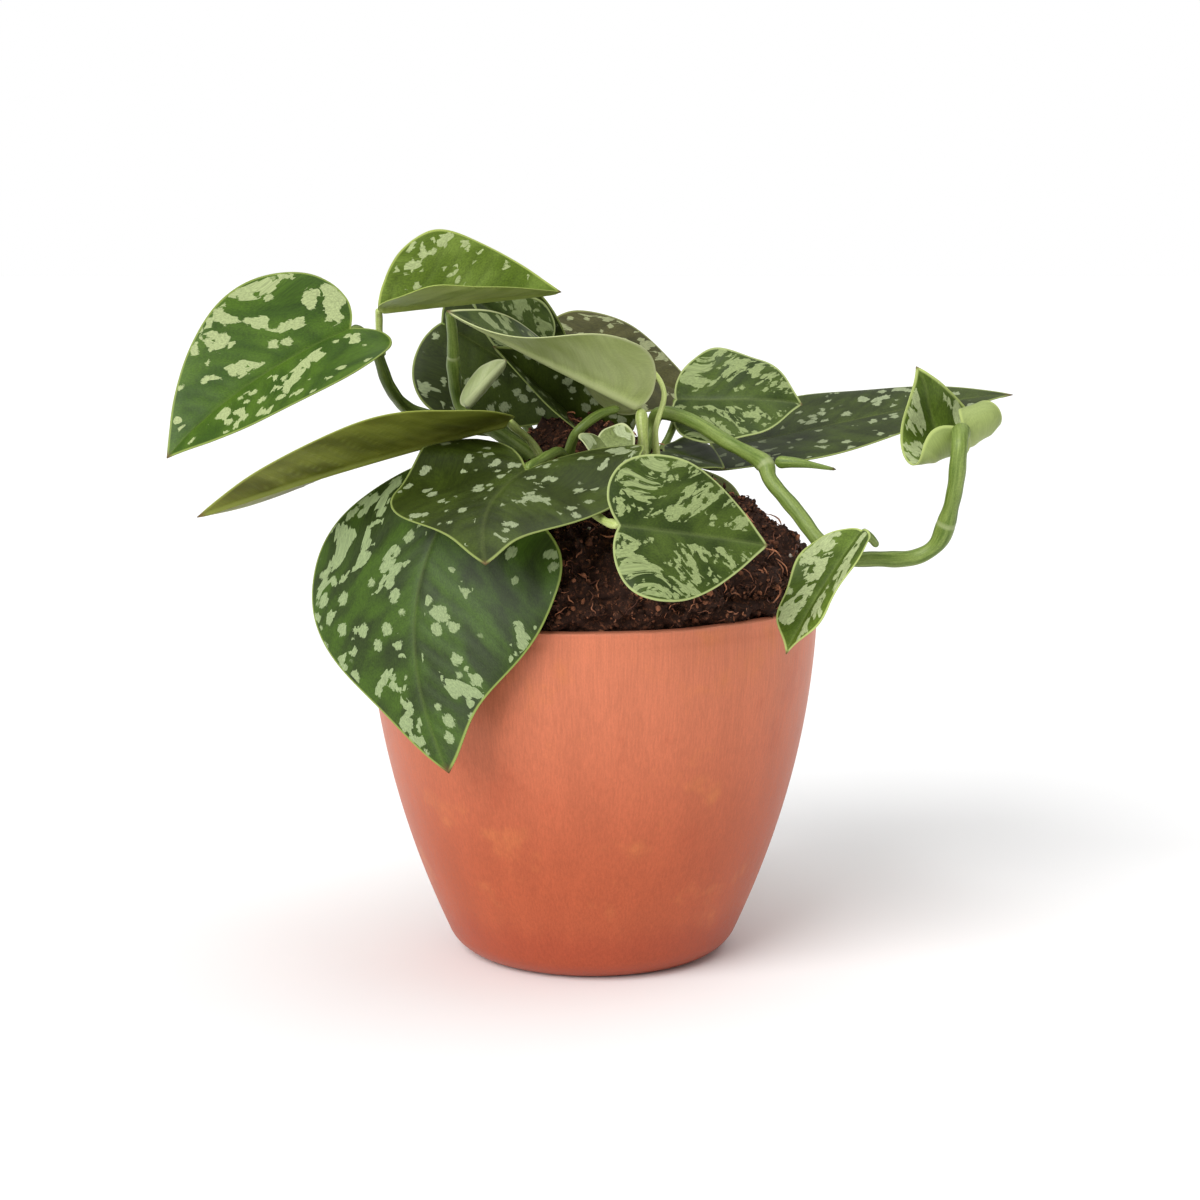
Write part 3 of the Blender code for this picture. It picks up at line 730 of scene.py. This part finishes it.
# ---- stalks ---------------------------------------------------------------------------------------------
@dataclass(frozen=True)
class StalkFinish:
    """Green skin with lighter streaks along the stalk and fine dark freckles."""

    dark: Triple = (94, 120, 40)
    light: Triple = (148, 168, 86)
    ring: Triple = (196, 206, 150)

    def material(self, name: str) -> bpy.types.Material:
        """Streaks from noise stretched along the stalk, freckles from fine noise, pale rings at the nodes."""
        sheet = Sheet(name, 0.42, 0.3)
        run = sheet.values("run")
        streak = sheet.noise(sheet.scaled(run, (0.16, 1.3, 1)), 3, 0.6)
        grain = sheet.noise(sheet.scaled(run, (2.2, 2.2, 1)), 2, 0.6)
        broad = sheet.noise(sheet.scaled(run, (0.06, 0.2, 1)), 1)
        share = sheet.maths("MULTIPLY_ADD", broad, 0.6, sheet.maths("MULTIPLY", streak, 0.5))
        colour = sheet.mix(sheet.ramp(share, 0.35, 0.75), paint(*self.dark), paint(*self.light))
        colour = sheet.shade(colour, sheet.ramp(grain, 0.3, 0.7, 0.84, 1.12))
        colour = sheet.mix(sheet.value("ring"), colour, paint(*self.ring))
        colour = sheet.mix(sheet.value("scorch"), colour, paint(84, 62, 34))
        return sheet.finish(colour, sheet.maths("ADD", streak, grain), 0.10, 0.4)


class Skin(Enum):
    """The colourings of the stalks."""

    GREEN = StalkFinish()
    PALE = StalkFinish((176, 196, 96), (212, 224, 148), (218, 226, 166))
    BRIGHT = StalkFinish((178, 196, 104), (214, 224, 150), (222, 228, 170))
    DEEP = StalkFinish((84, 106, 36), (132, 152, 72), (160, 176, 100))


@dataclass(frozen=True)
class Stalk:
    """One stalk: a tapering tube along its path, swollen at its nodes and where it meets its blade."""

    name: str
    first: float
    last: float
    path: tuple[Triple, ...]
    skin: Skin = Skin.GREEN
    nodes: tuple[float, ...] = ()
    end: str = ""  # the blade that it carries
    flat: float = 1.0
    scorched: bool = False
    sides: int = 18

    def centreline(self) -> np.ndarray:
        """Points in mm, about 0.7 mm apart, through the path and on to the base of its blade."""
        path = [np.array(p, float) for p in self.path]
        carried = [blade for blade in BLADES if blade.name == self.end]
        if carried:
            path.append(np.array(carried[0].base, float))
        rough = spline(path, 40 * len(path))
        lengths = np.concatenate([[0], np.cumsum(np.linalg.norm(np.diff(rough, axis=0), axis=1))])
        steps = np.linspace(0, lengths[-1], max(int(lengths[-1] / 0.7), 8))
        even = np.stack([np.interp(steps, lengths, rough[:, k]) for k in range(3)], -1)
        return even * LEAF_SCALE + (0, 0, CROWN)

    def surface(self) -> Surface:
        """The closed tube: a ring round each point of the centreline, drawn to a point at both ends.

        The radius runs evenly from first to last, and a bell curve is added at each node.

        Returns:
            The welded surface, with distance along and round it.
        """
        line = self.centreline()
        tangent = unit(np.gradient(line, axis=0))
        _, directions = np.linalg.eigh(tangent.T @ tangent)
        across = unit(np.cross(tangent, directions[:, 0]))
        other = np.cross(tangent, across)
        along = np.concatenate([[0], np.cumsum(np.linalg.norm(np.diff(line, axis=0), axis=1))])
        total = along[-1]
        share = along / total
        radius = self.first + (self.last - self.first) * share
        ring = np.zeros_like(share)
        for node in self.nodes:
            near = along - node * total
            radius = radius * (1 + 0.22 * np.exp(-((near / (1.9 * self.first)) ** 2)))
            radius = radius - 0.12 * np.exp(-(((near - 0.9 * self.first) / 0.35) ** 2))
            ring = ring + 0.75 * np.exp(-(((near - 0.9 * self.first) / 0.45) ** 2))
        if self.end:
            radius = radius * (1 + 0.22 * np.exp(-(((along - total + 3.5) / 2.4) ** 2)))
        wobble = 0.025 * np.sin(along * 0.9 + 1.3) + 0.03 * np.sin(along * 0.37)
        radius = radius * (1 + wobble) * np.sqrt(np.clip(np.minimum(along, total - along) / radius, 0, 1))
        turn = np.linspace(0, 2 * np.pi, self.sides + 1)
        channel = 1 - 0.10 * np.exp(-(((turn - np.pi / 2) / 0.5) ** 2))
        wide = (radius[:, None] * np.cos(turn) * channel)[..., None] * across[:, None]
        deep = (radius[:, None] * np.sin(turn) * channel * self.flat)[..., None] * other[:, None]
        grid = line[:, None] + wide + deep
        grid[:, -1] = grid[:, 0]
        first, index = weld_grid(grid)
        quads, triangles = split_collapsed(grid_quads(index[:, ::-1]))
        run = np.broadcast_arrays(along[:, None], 3.0 * np.cos(turn)[None], 3.0 * np.sin(turn)[None])
        run = np.stack(run, -1)
        spread = np.broadcast_to(ring[:, None], grid.shape[:2])
        burnt = eased(share, 0.86, 1.0) if self.scorched else 0 * share
        burnt = np.broadcast_to(burnt[:, None], grid.shape[:2])
        return Surface(grid.reshape(-1, 3)[first], quads, triangles, {
            "run": run.reshape(-1, 3)[first], "ring": spread.ravel()[first], "scorch": burnt.ravel()[first]})

    def build(self) -> bpy.types.Object:
        """Makes the stalk with its skin, in place of its node."""
        material = self.skin.value.material(f"{self.name}_skin")
        obj = self.surface().to_object("stalk_" + self.name, [material], "stalk")
        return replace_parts(obj, "stem_" + self.name)


STALK_ROWS = (
    Stalk("left", 2.4, 1.4, (
        (-16, 10, 1), (-24.5, 12, 9), (-32, 12, 10.5), (-42.5, 10, 13), (-51, 6, 16.5),
        (-55.5, -2, 23.5), (-58.5, -6, 33), (-62.5, -5, 37.5)), Skin.DEEP, end="high_left"),
    Stalk("top", 1, 0.9, ((-57, -1, 31), (-58, -1, 36.5), (-58, -2, 42)), Skin.PALE, end="top"),
    Stalk("spear", 2.4, 1.3, (
        (-14, 2, 1.5), (-25.5, 5, 9.5), (-33, 8, 13), (-37, 9, 18), (-38, 4, 26.5), (-38, -4, 38),
        (-38.5, -9, 44.5)), Skin.GREEN, nodes=(0.7,)),
    Stalk("left_long", 1.2, 1, (
        (-12, -6, 1), (-16.5, -8, 8.5), (-21, -15, 13.5)), Skin.PALE, end="left_long"),
    Stalk("front_hanging", 1.6, 1.2, (
        (-14, -17, -0.5), (-16.5, -22, 3.5), (-23, -34, 1.5), (-28.5, -42, 0.5)), end="front_hanging"),
    Stalk("front_left", 1.5, 1.2, (
        (-6, -15, 0.5), (-8.5, -20, 7), (-11.5, -30, 7.5), (-14.5, -37, 6.5)), end="front_left"),
    Stalk("front_heart", 1.3, 1, (
        (-1, -23, 0), (-1, -36, 1.5), (-0.5, -52, -3.5), (3, -66, -5), (5.5, -72, -5)), Skin.PALE,
        end="front_heart"),
    Stalk("centre", 1.6, 1.5, (
        (14, -12, 0.5), (13.5, -14, 6.5), (13.5, -14, 10.5), (13, -12, 17.5)), Skin.PALE, end="centre_under"),
    Stalk("sheath", 1.3, 0.6, (
        (18, -9, 0), (17, -9, 10), (17.5, -8, 14), (19.5, -4, 21), (17.5, 2, 26), (13, 6, 29.5)),
        Skin.BRIGHT, flat=0.6),
    Stalk("arc", 1.6, 1.2, (
        (-7, -8, 1.5), (-5.5, -16, 9.5), (-3, -18, 13.5), (2, -16, 17), (7.5, -15, 18.5)), Skin.DEEP),
    Stalk("vine", 1.9, 2.2, (
        (13, 5, 1), (16.5, 7, 11.5), (19, 3, 15.5), (27, -3, 14), (36.5, -12, 9), (45.5, -20, 4.5),
        (47.5, -24, 0), (54, -30, -7.5), (60.5, -35, -15.5), (67.5, -36, -19), (74.5, -34, -19.5),
        (84.5, -32, -19.5), (90.5, -33, -16), (93, -35, -9.5), (94.5, -39, 0), (95, -41, 9.5),
        (95.5, -39, 13.5)), nodes=(0.355, 0.791), end="vine_end"),
    Stalk("bud", 1.9, 0.35, ((48.4, -23.2, 5), (55, -26, 5), (64.5, -28, 3.5)), scorched=True),
    Stalk("right_heart", 1.3, 1, ((17, 20, -1.5), (22.5, 26, 8.5), (23.5, 15, 16)), end="right_heart"),
    Stalk("right_long", 1.3, 1, ((27, 11, -2), (29.5, 20, -1.5), (32, 22, 0.5)), end="right_long"),
    Stalk("back_brown", 1.3, 1, (
        (-1, 20, 0.5), (-7, 44, 10), (-12, 56, 19.5), (-14.5, 57, 26)), end="back_brown"),
    Stalk("back_left", 1.5, 1.1, (
        (-12, 19, 0), (-21, 38, 11), (-35.5, 46, 27.5), (-42, 43, 36)), end="back_left"),
    Stalk("back_upper", 1.2, 0.9, (
        (-6, 9, 1), (-8.5, 22, 12.5), (-11, 26, 22), (-13, 24, 29)), end="back_upper"),
    Stalk("vine_small", 1, 0.9, (
        (74.5, -37.5, -15.5), (73, -40, -13.5), (71, -42, -11.5)), end="vine_small"),
    Stalk("back_hanging", 1.8, 1.4, ((8, 26, -1), (12, 42, -1), (15, 54, -7)), end="back_hanging"),
    Stalk("back_low", 1.5, 1.2, ((-9, 30, -3), (-18, 44, -7), (-24.5, 53.5, -11)), end="back_low"),
)


# ---- pot ------------------------------------------------------------------------------------------------
@dataclass
class Pot:
    """The turned pot: flared side, thin uneven rim, rounded foot, brushed copper-coloured paint."""

    height: float = RIM
    mouth: float = MOUTH
    foot_narrowing: float = 0.397
    flare_power: float = 1.95
    foot_edge: float = 6.0
    wall: float = POT_WALL
    floor: float = 6.0
    lip: float = 1.2
    steps: int = 224

    def side(self, z: np.ndarray) -> np.ndarray:
        """Outer radius at height z: the mouth, less a power of the share of the height below the rim."""
        below = (self.height - z) / self.height
        return self.mouth * (1 - self.foot_narrowing * below**self.flare_power)

    def profile(self) -> np.ndarray:
        """(radius, height) from the middle of the base, up the side, over the rim, and down to the floor."""
        foot = float(self.side(self.foot_edge))
        a = np.linspace(math.pi / 2, 0.12, 12)
        r = self.foot_edge
        edge = np.stack([foot - r * (1 - np.cos(a)) - 0.45 * r * np.sin(a), r * (1 - np.sin(a))], -1)
        z = np.linspace(self.foot_edge, self.height - 0.5 * self.lip, 74)
        band = 0.22 * np.exp(-(((z - self.height + 3.2) / 1.1) ** 2))
        outside = np.stack([self.side(z) - band, z], -1)
        a = np.linspace(0.1, math.pi - 0.1, 11)
        rim = np.stack([self.mouth - self.wall / 2 + self.wall / 2 * np.cos(a),
                        self.height - 0.5 * self.lip + 0.5 * self.lip * np.sin(a)], -1)
        z = np.linspace(self.height - self.lip, self.floor + 5, 26)
        inside = np.stack([self.side(z) - self.wall, z], -1)
        low = foot - self.wall
        bottom = np.array([(low - 1.5, self.floor + 1.5), (low - 6, self.floor), (0, self.floor)])
        base = np.linspace(0, edge[0, 0], 10)[:-1]
        return np.vstack([np.stack([base, 0 * base], -1), edge, outside, rim, inside, bottom])

    def build(self) -> bpy.types.Object:
        """Turns the profile round Z, with a rim that wanders a little, and paints it."""
        profile = self.profile()
        turn = np.linspace(0, 2 * np.pi, self.steps + 1)
        radius, height = (np.broadcast_to(profile[:, k, None], (len(profile), len(turn))) for k in (0, 1))
        high = eased(height, 0.72 * self.height, self.height)
        sideways = 0.18 * np.sin(3 * turn + 0.6) + 0.10 * np.sin(7 * turn + 2) + 0.05 * np.sin(17 * turn)
        upwards = 0.20 * np.sin(2 * turn + 1) + 0.12 * np.sin(5 * turn) + 0.06 * np.sin(13 * turn + 2)
        radius, height = radius + high * sideways, height + high * upwards
        radius = np.where(profile[:, :1] == 0, 0, radius)
        grid = np.stack([radius * np.cos(turn), radius * np.sin(turn), height], -1)
        first, index = weld_grid(grid)
        quads, triangles = split_collapsed(grid_quads(index)[:, ::-1])
        surface = Surface(grid.reshape(-1, 3)[first], quads, triangles, {})
        obj = surface.to_object("painted_pot", [self.finish()], "pot")
        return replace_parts(obj, "pot")

    def finish(self) -> bpy.types.Material:
        """Matt copper-orange paint with upright brush marks, lighter rubs and a redder band at the foot, with
        painted light: lighter towards the rim, and a painted highlight along its edge.
        """
        sheet = Sheet("copper_paint", 0.42, 0.3)
        sheet.shader.inputs["Metallic"].default_value = 0.25
        place = sheet.place()
        height = sheet.parts(place)[2]
        strokes = sheet.noise(sheet.scaled(place, (1.9, 1.9, 0.05)), 4, 0.7)
        wide = sheet.noise(sheet.scaled(place, (0.10, 0.10, 0.016)), 3, 0.6)
        rubs = sheet.noise(sheet.scaled(place, (0.05, 0.05, 0.05), (3, 7, 1)), 4, 0.6)
        grain = sheet.noise(sheet.scaled(place, (3.1, 3.1, 1.6)), 2, 0.6)
        # Painted light: the paint turns lighter towards the rim, standing in for light that falls more on the
        # upper side.
        upper = sheet.ramp(height, 0.25 * self.height, 1.0 * self.height)
        colour = sheet.mix(upper, paint(200, 100, 64), paint(228, 134, 98))
        colour = sheet.shade(colour, sheet.ramp(wide, 0.3, 0.7, 0.95, 1.05))
        colour = sheet.mix(sheet.ramp(rubs, 0.56, 0.74, 0.0, 0.5), colour, paint(232, 140, 82))
        colour = sheet.mix(sheet.ramp(rubs, 0.44, 0.28, 0.0, 0.3), colour, paint(196, 94, 62))
        wavy = sheet.maths("MULTIPLY_ADD", wide, 10.0, -5.0)
        low = sheet.maths("ADD", height, wavy)
        foot_band = sheet.ramp(low, 0.19 * self.height, 0.09 * self.height, 0.0, 0.6)
        colour = sheet.mix(foot_band, colour, paint(186, 84, 56))
        # Painted highlight: a pale line along the top of the rim.
        painted_rim_highlight = sheet.ramp(height, 0.985 * self.height, 0.999 * self.height, 0.0, 0.5)
        colour = sheet.mix(painted_rim_highlight, colour, paint(240, 158, 128))
        colour = sheet.shade(colour, sheet.ramp(strokes, 0.3, 0.7, 0.89, 1.07))
        colour = sheet.shade(colour, sheet.ramp(grain, 0.3, 0.7, 0.96, 1.04))
        relief = sheet.maths("MULTIPLY_ADD", strokes, 1.0, sheet.maths("MULTIPLY", grain, 0.35))
        rough = sheet.ramp(strokes, 0.3, 0.7, 0.36, 0.48)
        return sheet.finish(colour, relief, 0.10, 0.35, rough)


# ---- soil -----------------------------------------------------------------------------------------------
@dataclass
class Soil:
    """The heap of potting soil: a crumbly mound, with loose crumbs, curled fibres and white grains on it."""

    rim: float = RIM
    crown: float = CROWN
    mouth: float = MOUTH - POT_WALL
    power: float = 3.2
    bulge: float = 3.0
    plug: float = 13.0  # how far the root ball stands up where the stalks come out of it
    rows: int = 96
    columns: int = 300
    crumbs: int = 8000
    fibres: int = 900
    grains: int = 34

    def heap(self) -> tuple[np.ndarray, np.ndarray]:
        """The mound as a grid of rings, and its outward normals, roughened by noise at three sizes.

        Its height falls by the power of the share of the radius, and it swells over the rim, most on the
        right and behind.
        """
        round_it = np.linspace(0, 2 * np.pi, self.columns + 1)
        u, turn = np.meshgrid(np.linspace(0, 1, self.rows), round_it, indexing="ij")
        side = np.exp(-(((turn - 0.55) / 0.75) ** 2)) + np.exp(-(((turn - 0.55 - 2 * np.pi) / 0.75) ** 2))
        swell = self.bulge * (0.25 + 1.6 * side)
        share = np.minimum(u / 0.80, 1)
        dome = self.rim + (self.crown - self.rim) * (1 - 0.74 * share**self.power)
        fall = np.clip((u - 0.80) / 0.20, 0, 1)
        height = dome - fall * (0.26 * (self.crown - self.rim) + 2.5)
        lip = self.mouth * (0.94 * share + 0.06 * share**4)
        radius = lip + swell * np.sin(np.pi * np.clip(0.25 + fall, 0, 1)) * share**3 - 1.8 * fall**3
        grid = np.stack([radius * np.cos(turn), radius * np.sin(turn), height], -1)
        out = unit(np.cross(np.gradient(grid, axis=1), np.gradient(grid, axis=0)))
        out = np.where((u < 0.01)[..., None], (0, 0, 1), -out)
        out = np.where((out[..., 2:] < -0.2), -out, out)
        rough = 2.0 * rough_noise(grid, 9.0, 2, 3) + 2.2 * rough_noise(grid, 3.2, 3, 11)
        rough = rough - 1.5 * np.abs(rough_noise(grid, 1.9, 2, 23))
        rough = rough * (1 - 0.9 * eased(fall, 0.7, 1.0)) - 0.2
        root_ball = ((grid[..., 0] + 3) / 22) ** 2 + ((grid[..., 1] - 13) / 13) ** 2
        rough = rough + self.plug * np.exp(-(root_ball**1.5))
        rough = np.where(u < 0.01, rough[0, 0], rough)
        grid = grid + out * rough[..., None]
        grid[:, -1] = grid[:, 0]
        return grid, out

    def build(self) -> list[bpy.types.Object]:
        """Makes the mound, in place of its node, and what lies on it."""
        grid, out = self.heap()
        depth = np.linspace(0.06, 1, 14)[:, None]
        low = 8.0
        inner = grid[-1][None] * np.array([1, 1, 0]) * (1 - 0.38 * depth[..., None] ** 2)
        inner[..., 2] = self.rim - 2.5 - (self.rim - 2.5 - low) * depth
        closing = np.zeros((1, grid.shape[1], 3))
        closing[..., 2] = low
        whole = np.vstack([grid, inner, closing])
        first, index = weld_grid(whole)
        quads, triangles = split_collapsed(grid_quads(index))
        mound = Surface(whole.reshape(-1, 3)[first], quads, triangles, {}).to_object(
            "soil_mound", [self.finish("soil_dark", (52, 28, 16), (124, 76, 50))], "soil")
        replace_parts(mound, "soil")
        return [mound, self.make_crumbs(grid, out), self.make_fibres(grid, out), self.make_grains(grid, out)]

    def scatter(self, grid: np.ndarray, out: np.ndarray, count: int, seed: int, spread: Pair = (0.05, 0.93),
                ) -> tuple[np.ndarray, np.ndarray, np.random.Generator]:
        """Chance places on the mound, even over its area.

        Returns:
            The places, the normals there, and the generator to go on drawing from.
        """
        draw = np.random.default_rng(seed)
        row = (np.sqrt(draw.uniform(spread[0] ** 2, spread[1] ** 2, count)) * (self.rows - 1)).astype(int)
        column = draw.integers(0, self.columns, count)
        return grid[row, column], out[row, column], draw

    @staticmethod
    def lumps(places: np.ndarray, sizes: np.ndarray, draw: np.random.Generator) -> Surface:
        """Small angular lumps: five corners round each of two rings, and two poles, all jogged by chance."""
        sides = 5
        turn = np.arange(sides) * 2 * np.pi / sides
        rise = np.array([-0.45, 0.45])
        wide = np.sqrt(1 - rise**2)
        rings = np.stack(np.broadcast_arrays(
            wide[:, None] * np.cos(turn), wide[:, None] * np.sin(turn), rise[:, None]), -1)
        shape = np.vstack([[(0, 0, -1)], rings.reshape(-1, 3), [(0, 0, 1)]])
        jog = draw.uniform(0.68, 1.25, (len(places), len(shape), 1))
        squash = draw.uniform(0.45, 1.35, (len(places), 1, 3))
        spun, _ = np.linalg.qr(draw.normal(size=(len(places), 3, 3)))
        spun[np.linalg.det(spun) < 0] *= -1
        turned = np.einsum("nij,nkj->nki", spun, shape * jog * squash)
        points = turned * sizes[:, None, None] + places[:, None]
        k = np.arange(sides)
        n = (k + 1) % sides
        belt = np.stack([1 + k, 1 + n, 1 + sides + n, 1 + sides + k], -1)
        top = len(shape) - 1
        caps = [np.stack([0 * k, 1 + n, 1 + k], -1),
                np.stack([0 * k + top, 1 + sides + k, 1 + sides + n], -1)]
        offset = (np.arange(len(places)) * len(shape))[:, None, None]
        quads = (belt[None] + offset).reshape(-1, 4)
        triangles = (np.vstack(caps)[None] + offset).reshape(-1, 3)
        tint = np.repeat(draw.uniform(0, 1, len(places)), len(shape))
        return Surface(points.reshape(-1, 3), quads, triangles, {"tint": tint})

    def make_crumbs(self, grid: np.ndarray, out: np.ndarray) -> bpy.types.Object:
        """Loose crumbs bedded in the mound."""
        places, normals, draw = self.scatter(grid, out, self.crumbs, 5, (0.05, 0.96))
        sizes = 0.28 + 0.75 * draw.random(self.crumbs) ** 2.0
        places = places + normals * (sizes * draw.uniform(0.0, 0.75, self.crumbs))[:, None]
        surface = self.lumps(places, sizes, draw)
        material = self.finish("soil_crumb", (56, 31, 18), (168, 108, 76), True)
        return surface.to_object("soil_crumbs", [material], "soil")

    def make_grains(self, grid: np.ndarray, out: np.ndarray) -> bpy.types.Object:
        """White grains, a few of them half hidden."""
        places, normals, draw = self.scatter(grid, out, self.grains, 8, (0.5, 0.9))
        sizes = draw.uniform(0.4, 0.95, self.grains)
        places = places + normals * (sizes * draw.uniform(0.2, 0.7, self.grains))[:, None]
        surface = self.lumps(places, sizes, draw)
        sheet = Sheet("soil_grain", 0.8)
        speck = sheet.noise(sheet.scaled(sheet.place(), (1.8, 1.8, 1.8)), 2)
        colour = sheet.mix(sheet.ramp(speck, 0.35, 0.65), paint(176, 160, 144), paint(226, 220, 208))
        return surface.to_object("soil_grains", [sheet.finish(colour, speck, 0.1, 0.5)], "soil")

    def make_fibres(self, grid: np.ndarray, out: np.ndarray) -> bpy.types.Object:
        """Curled fibres: thin three-sided strands that leave the mound, arch and dip back.

        Each is a parabola over the ground with a sideways curl, tapered to a point at both ends.
        """
        count, rings = self.fibres, 7
        places, normals, draw = self.scatter(grid, out, count, 6, (0.1, 0.93))
        heading = draw.normal(size=(count, 3))
        heading = unit(heading - (heading * normals).sum(-1, keepdims=True) * normals)
        aside = np.cross(normals, heading)
        length = 2.0 + 5.5 * draw.random(count) ** 2
        arch = draw.uniform(-0.1, 0.5, count)
        curl = draw.uniform(-0.9, 0.9, count)
        lean = draw.uniform(0, 0.35, count)
        s = np.linspace(0, 1, rings)
        forward = (s - 0.5) * length[:, None]
        up = (4 * s * (1 - s) * arch[:, None] + s * lean[:, None]) * length[:, None] * 0.45 + 0.25
        sway = (s - 0.5) ** 2 * curl[:, None] * length[:, None] + 0.25 * np.sin(9 * s + 6 * curl[:, None])
        line = (places[:, None] + forward[..., None] * heading[:, None] + up[..., None] * normals[:, None]
                + sway[..., None] * aside[:, None])
        thick = draw.uniform(0.12, 0.30, count)[:, None] * np.sin(np.pi * np.linspace(0.12, 0.88, rings))
        turn = np.arange(3) * -2 * np.pi / 3
        ring = (np.cos(turn)[None, None, :, None] * normals[:, None, None]
                + np.sin(turn)[None, None, :, None] * aside[:, None, None])
        points = line[:, :, None] + thick[..., None, None] * ring
        k = np.arange(3)
        n = (k + 1) % 3
        sides = [np.stack([3 * r + k, 3 * r + n, 3 * r + 3 + n, 3 * r + 3 + k], -1) for r in range(rings - 1)]
        caps = np.array([(2, 1, 0), (3 * rings - 3, 3 * rings - 2, 3 * rings - 1)])
        offset = (np.arange(count) * 3 * rings)[:, None, None]
        quads = (np.vstack(sides)[None] + offset).reshape(-1, 4)
        triangles = (caps[None] + offset).reshape(-1, 3)
        tint = np.repeat(draw.uniform(0, 1, count), 3 * rings)
        surface = Surface(points.reshape(-1, 3), quads, triangles, {"tint": tint})
        sheet = Sheet("soil_fibre", 0.62)
        own = sheet.value("tint")
        colour = sheet.mix(sheet.ramp(own, 0.1, 0.95), paint(104, 54, 30), paint(222, 146, 104))
        streak = sheet.noise(sheet.scaled(sheet.place(), (1.1, 1.1, 1.1)), 2)
        colour = sheet.shade(colour, sheet.ramp(streak, 0.3, 0.7, 0.7, 1.2))
        return surface.to_object("soil_fibres", [sheet.finish(colour, streak, 0.05, 0.3)], "soil")

    @staticmethod
    def finish(name: str, dark: Triple, light: Triple, tinted: bool = False) -> bpy.types.Material:
        """Dull brown with lighter specks, and for crumbs a shade of each one's own."""
        sheet = Sheet(name, 0.9, 0.3)
        place = sheet.place()
        specks = sheet.noise(sheet.scaled(place, (0.9, 0.9, 0.9)), 4, 0.7)
        fine = sheet.noise(sheet.scaled(place, (3.3, 3.3, 3.3)), 3, 0.65)
        share = sheet.ramp(specks, 0.48, 0.74)
        if tinted:
            share = sheet.maths("MAXIMUM", share, sheet.ramp(sheet.value("tint"), 0.72, 1.0))
        colour = sheet.mix(share, paint(*dark), paint(*light))
        colour = sheet.shade(colour, sheet.ramp(fine, 0.3, 0.7, 0.65, 1.3))
        return sheet.finish(colour, sheet.maths("MULTIPLY_ADD", fine, 0.6, specks), 0.6, 0.8)


# ---- studio ---------------------------------------------------------------------------------------------
@dataclass
class Studio:
    """Pale floor, soft suns, white surroundings, and the camera in front, a little above the rim."""

    distance: float = 750.0
    pitch: float = 9.3  # degrees that the camera looks down
    lens: float = 81.3
    shift: Pair = (0.00625, -0.0063)
    ambient: float = 0.5

    def build(self) -> None:
        """Makes the floor, the world, the suns and the camera."""
        self.make_floor()
        self.make_world()
        self.make_sun("key_sun", (-0.58, -0.74, 0.64), 44, 2.65)
        self.make_sun("top_sun", (0.25, 0.10, 1.0), 60, 0.9)
        self.make_camera()

    def make_floor(self) -> None:
        """One broad pale sheet under the pot."""
        reach = 4000.0
        corners = np.array([(-reach, -reach, 0), (reach, -reach, 0), (reach, reach, 0), (-reach, reach, 0)])
        mesh = bpy.data.meshes.new("floor")
        mesh.from_pydata((corners * MM).tolist(), [], [(0, 1, 2, 3)])
        sheet = Sheet("floor_pale", 0.9, 0.1)
        cloud = sheet.noise(sheet.scaled(sheet.place(), (0.01, 0.01, 0.01)), 1)
        mesh.materials.append(sheet.finish(sheet.mix(cloud, (0.93, 0.93, 0.93, 1), (0.95, 0.95, 0.95, 1))))
        floor = bpy.data.objects.new("floor", mesh)
        bpy.context.scene.collection.objects.link(floor)

    def make_world(self) -> None:
        """White to look at, and a softer white as light."""
        world = bpy.data.worlds.new("studio")
        world.use_nodes = True
        nodes, links = world.node_tree.nodes, world.node_tree.links
        sky = nodes["Background"]
        sky.inputs["Color"].default_value = (1, 1, 1, 1)
        seen = nodes.new("ShaderNodeLightPath").outputs["Is Camera Ray"]
        level = nodes.new("ShaderNodeMapRange")
        level.inputs["To Min"].default_value = self.ambient
        level.inputs["To Max"].default_value = 1.0
        links.new(seen, level.inputs["Value"])
        links.new(level.outputs[0], sky.inputs["Strength"])
        bpy.context.scene.world = world

    def make_sun(self, name: str, side: Triple, spread: float, power: float) -> None:
        """A broad soft sun that shines from a side, as even on the floor far off as near."""
        lamp = bpy.data.lights.new(name, "SUN")
        lamp.angle = math.radians(spread)
        lamp.energy = power
        obj = bpy.data.objects.new(name, lamp)
        obj.location = side
        self.aim(obj, np.zeros(3))
        bpy.context.scene.collection.objects.link(obj)

    @staticmethod
    def aim(obj: bpy.types.Object, target: np.ndarray) -> None:
        """Turns an object's -Z towards a target in mm, with its Y up."""
        towards = Vector((target * MM).tolist()) - obj.location
        obj.rotation_euler = towards.to_track_quat("-Z", "Y").to_euler()

    def make_camera(self) -> None:
        """The camera in front of the pot, looking at the middle of its rim."""
        camera = bpy.data.cameras.new("camera")
        camera.lens = self.lens
        camera.shift_x, camera.shift_y = self.shift
        camera.clip_start = 0.02
        obj = bpy.data.objects.new("camera", camera)
        slope = math.radians(self.pitch)
        back, up = self.distance * math.cos(slope), self.distance * math.sin(slope)
        obj.location = (0, -back * MM, (RIM + up) * MM)
        self.aim(obj, np.array([0.0, 0.0, RIM]))
        bpy.context.scene.collection.objects.link(obj)
        bpy.context.scene.camera = obj


def main() -> None:
    """Builds the pot, the soil, the blades, the stalks and the studio, in that order."""
    logging.basicConfig(level=logging.INFO, format="%(name)s: %(message)s")
    bpy.context.scene.view_settings.view_transform = "Standard"
    pieces = [Pot().build(), *Soil().build()]
    pieces += [blade.build() for blade in BLADES]
    pieces += [stalk.build() for stalk in STALK_ROWS]
    Studio().build()
    for piece in pieces:
        LOG.info("%s: %d faces", piece.name, len(piece.data.polygons))


if __name__ == "__main__":
    main()
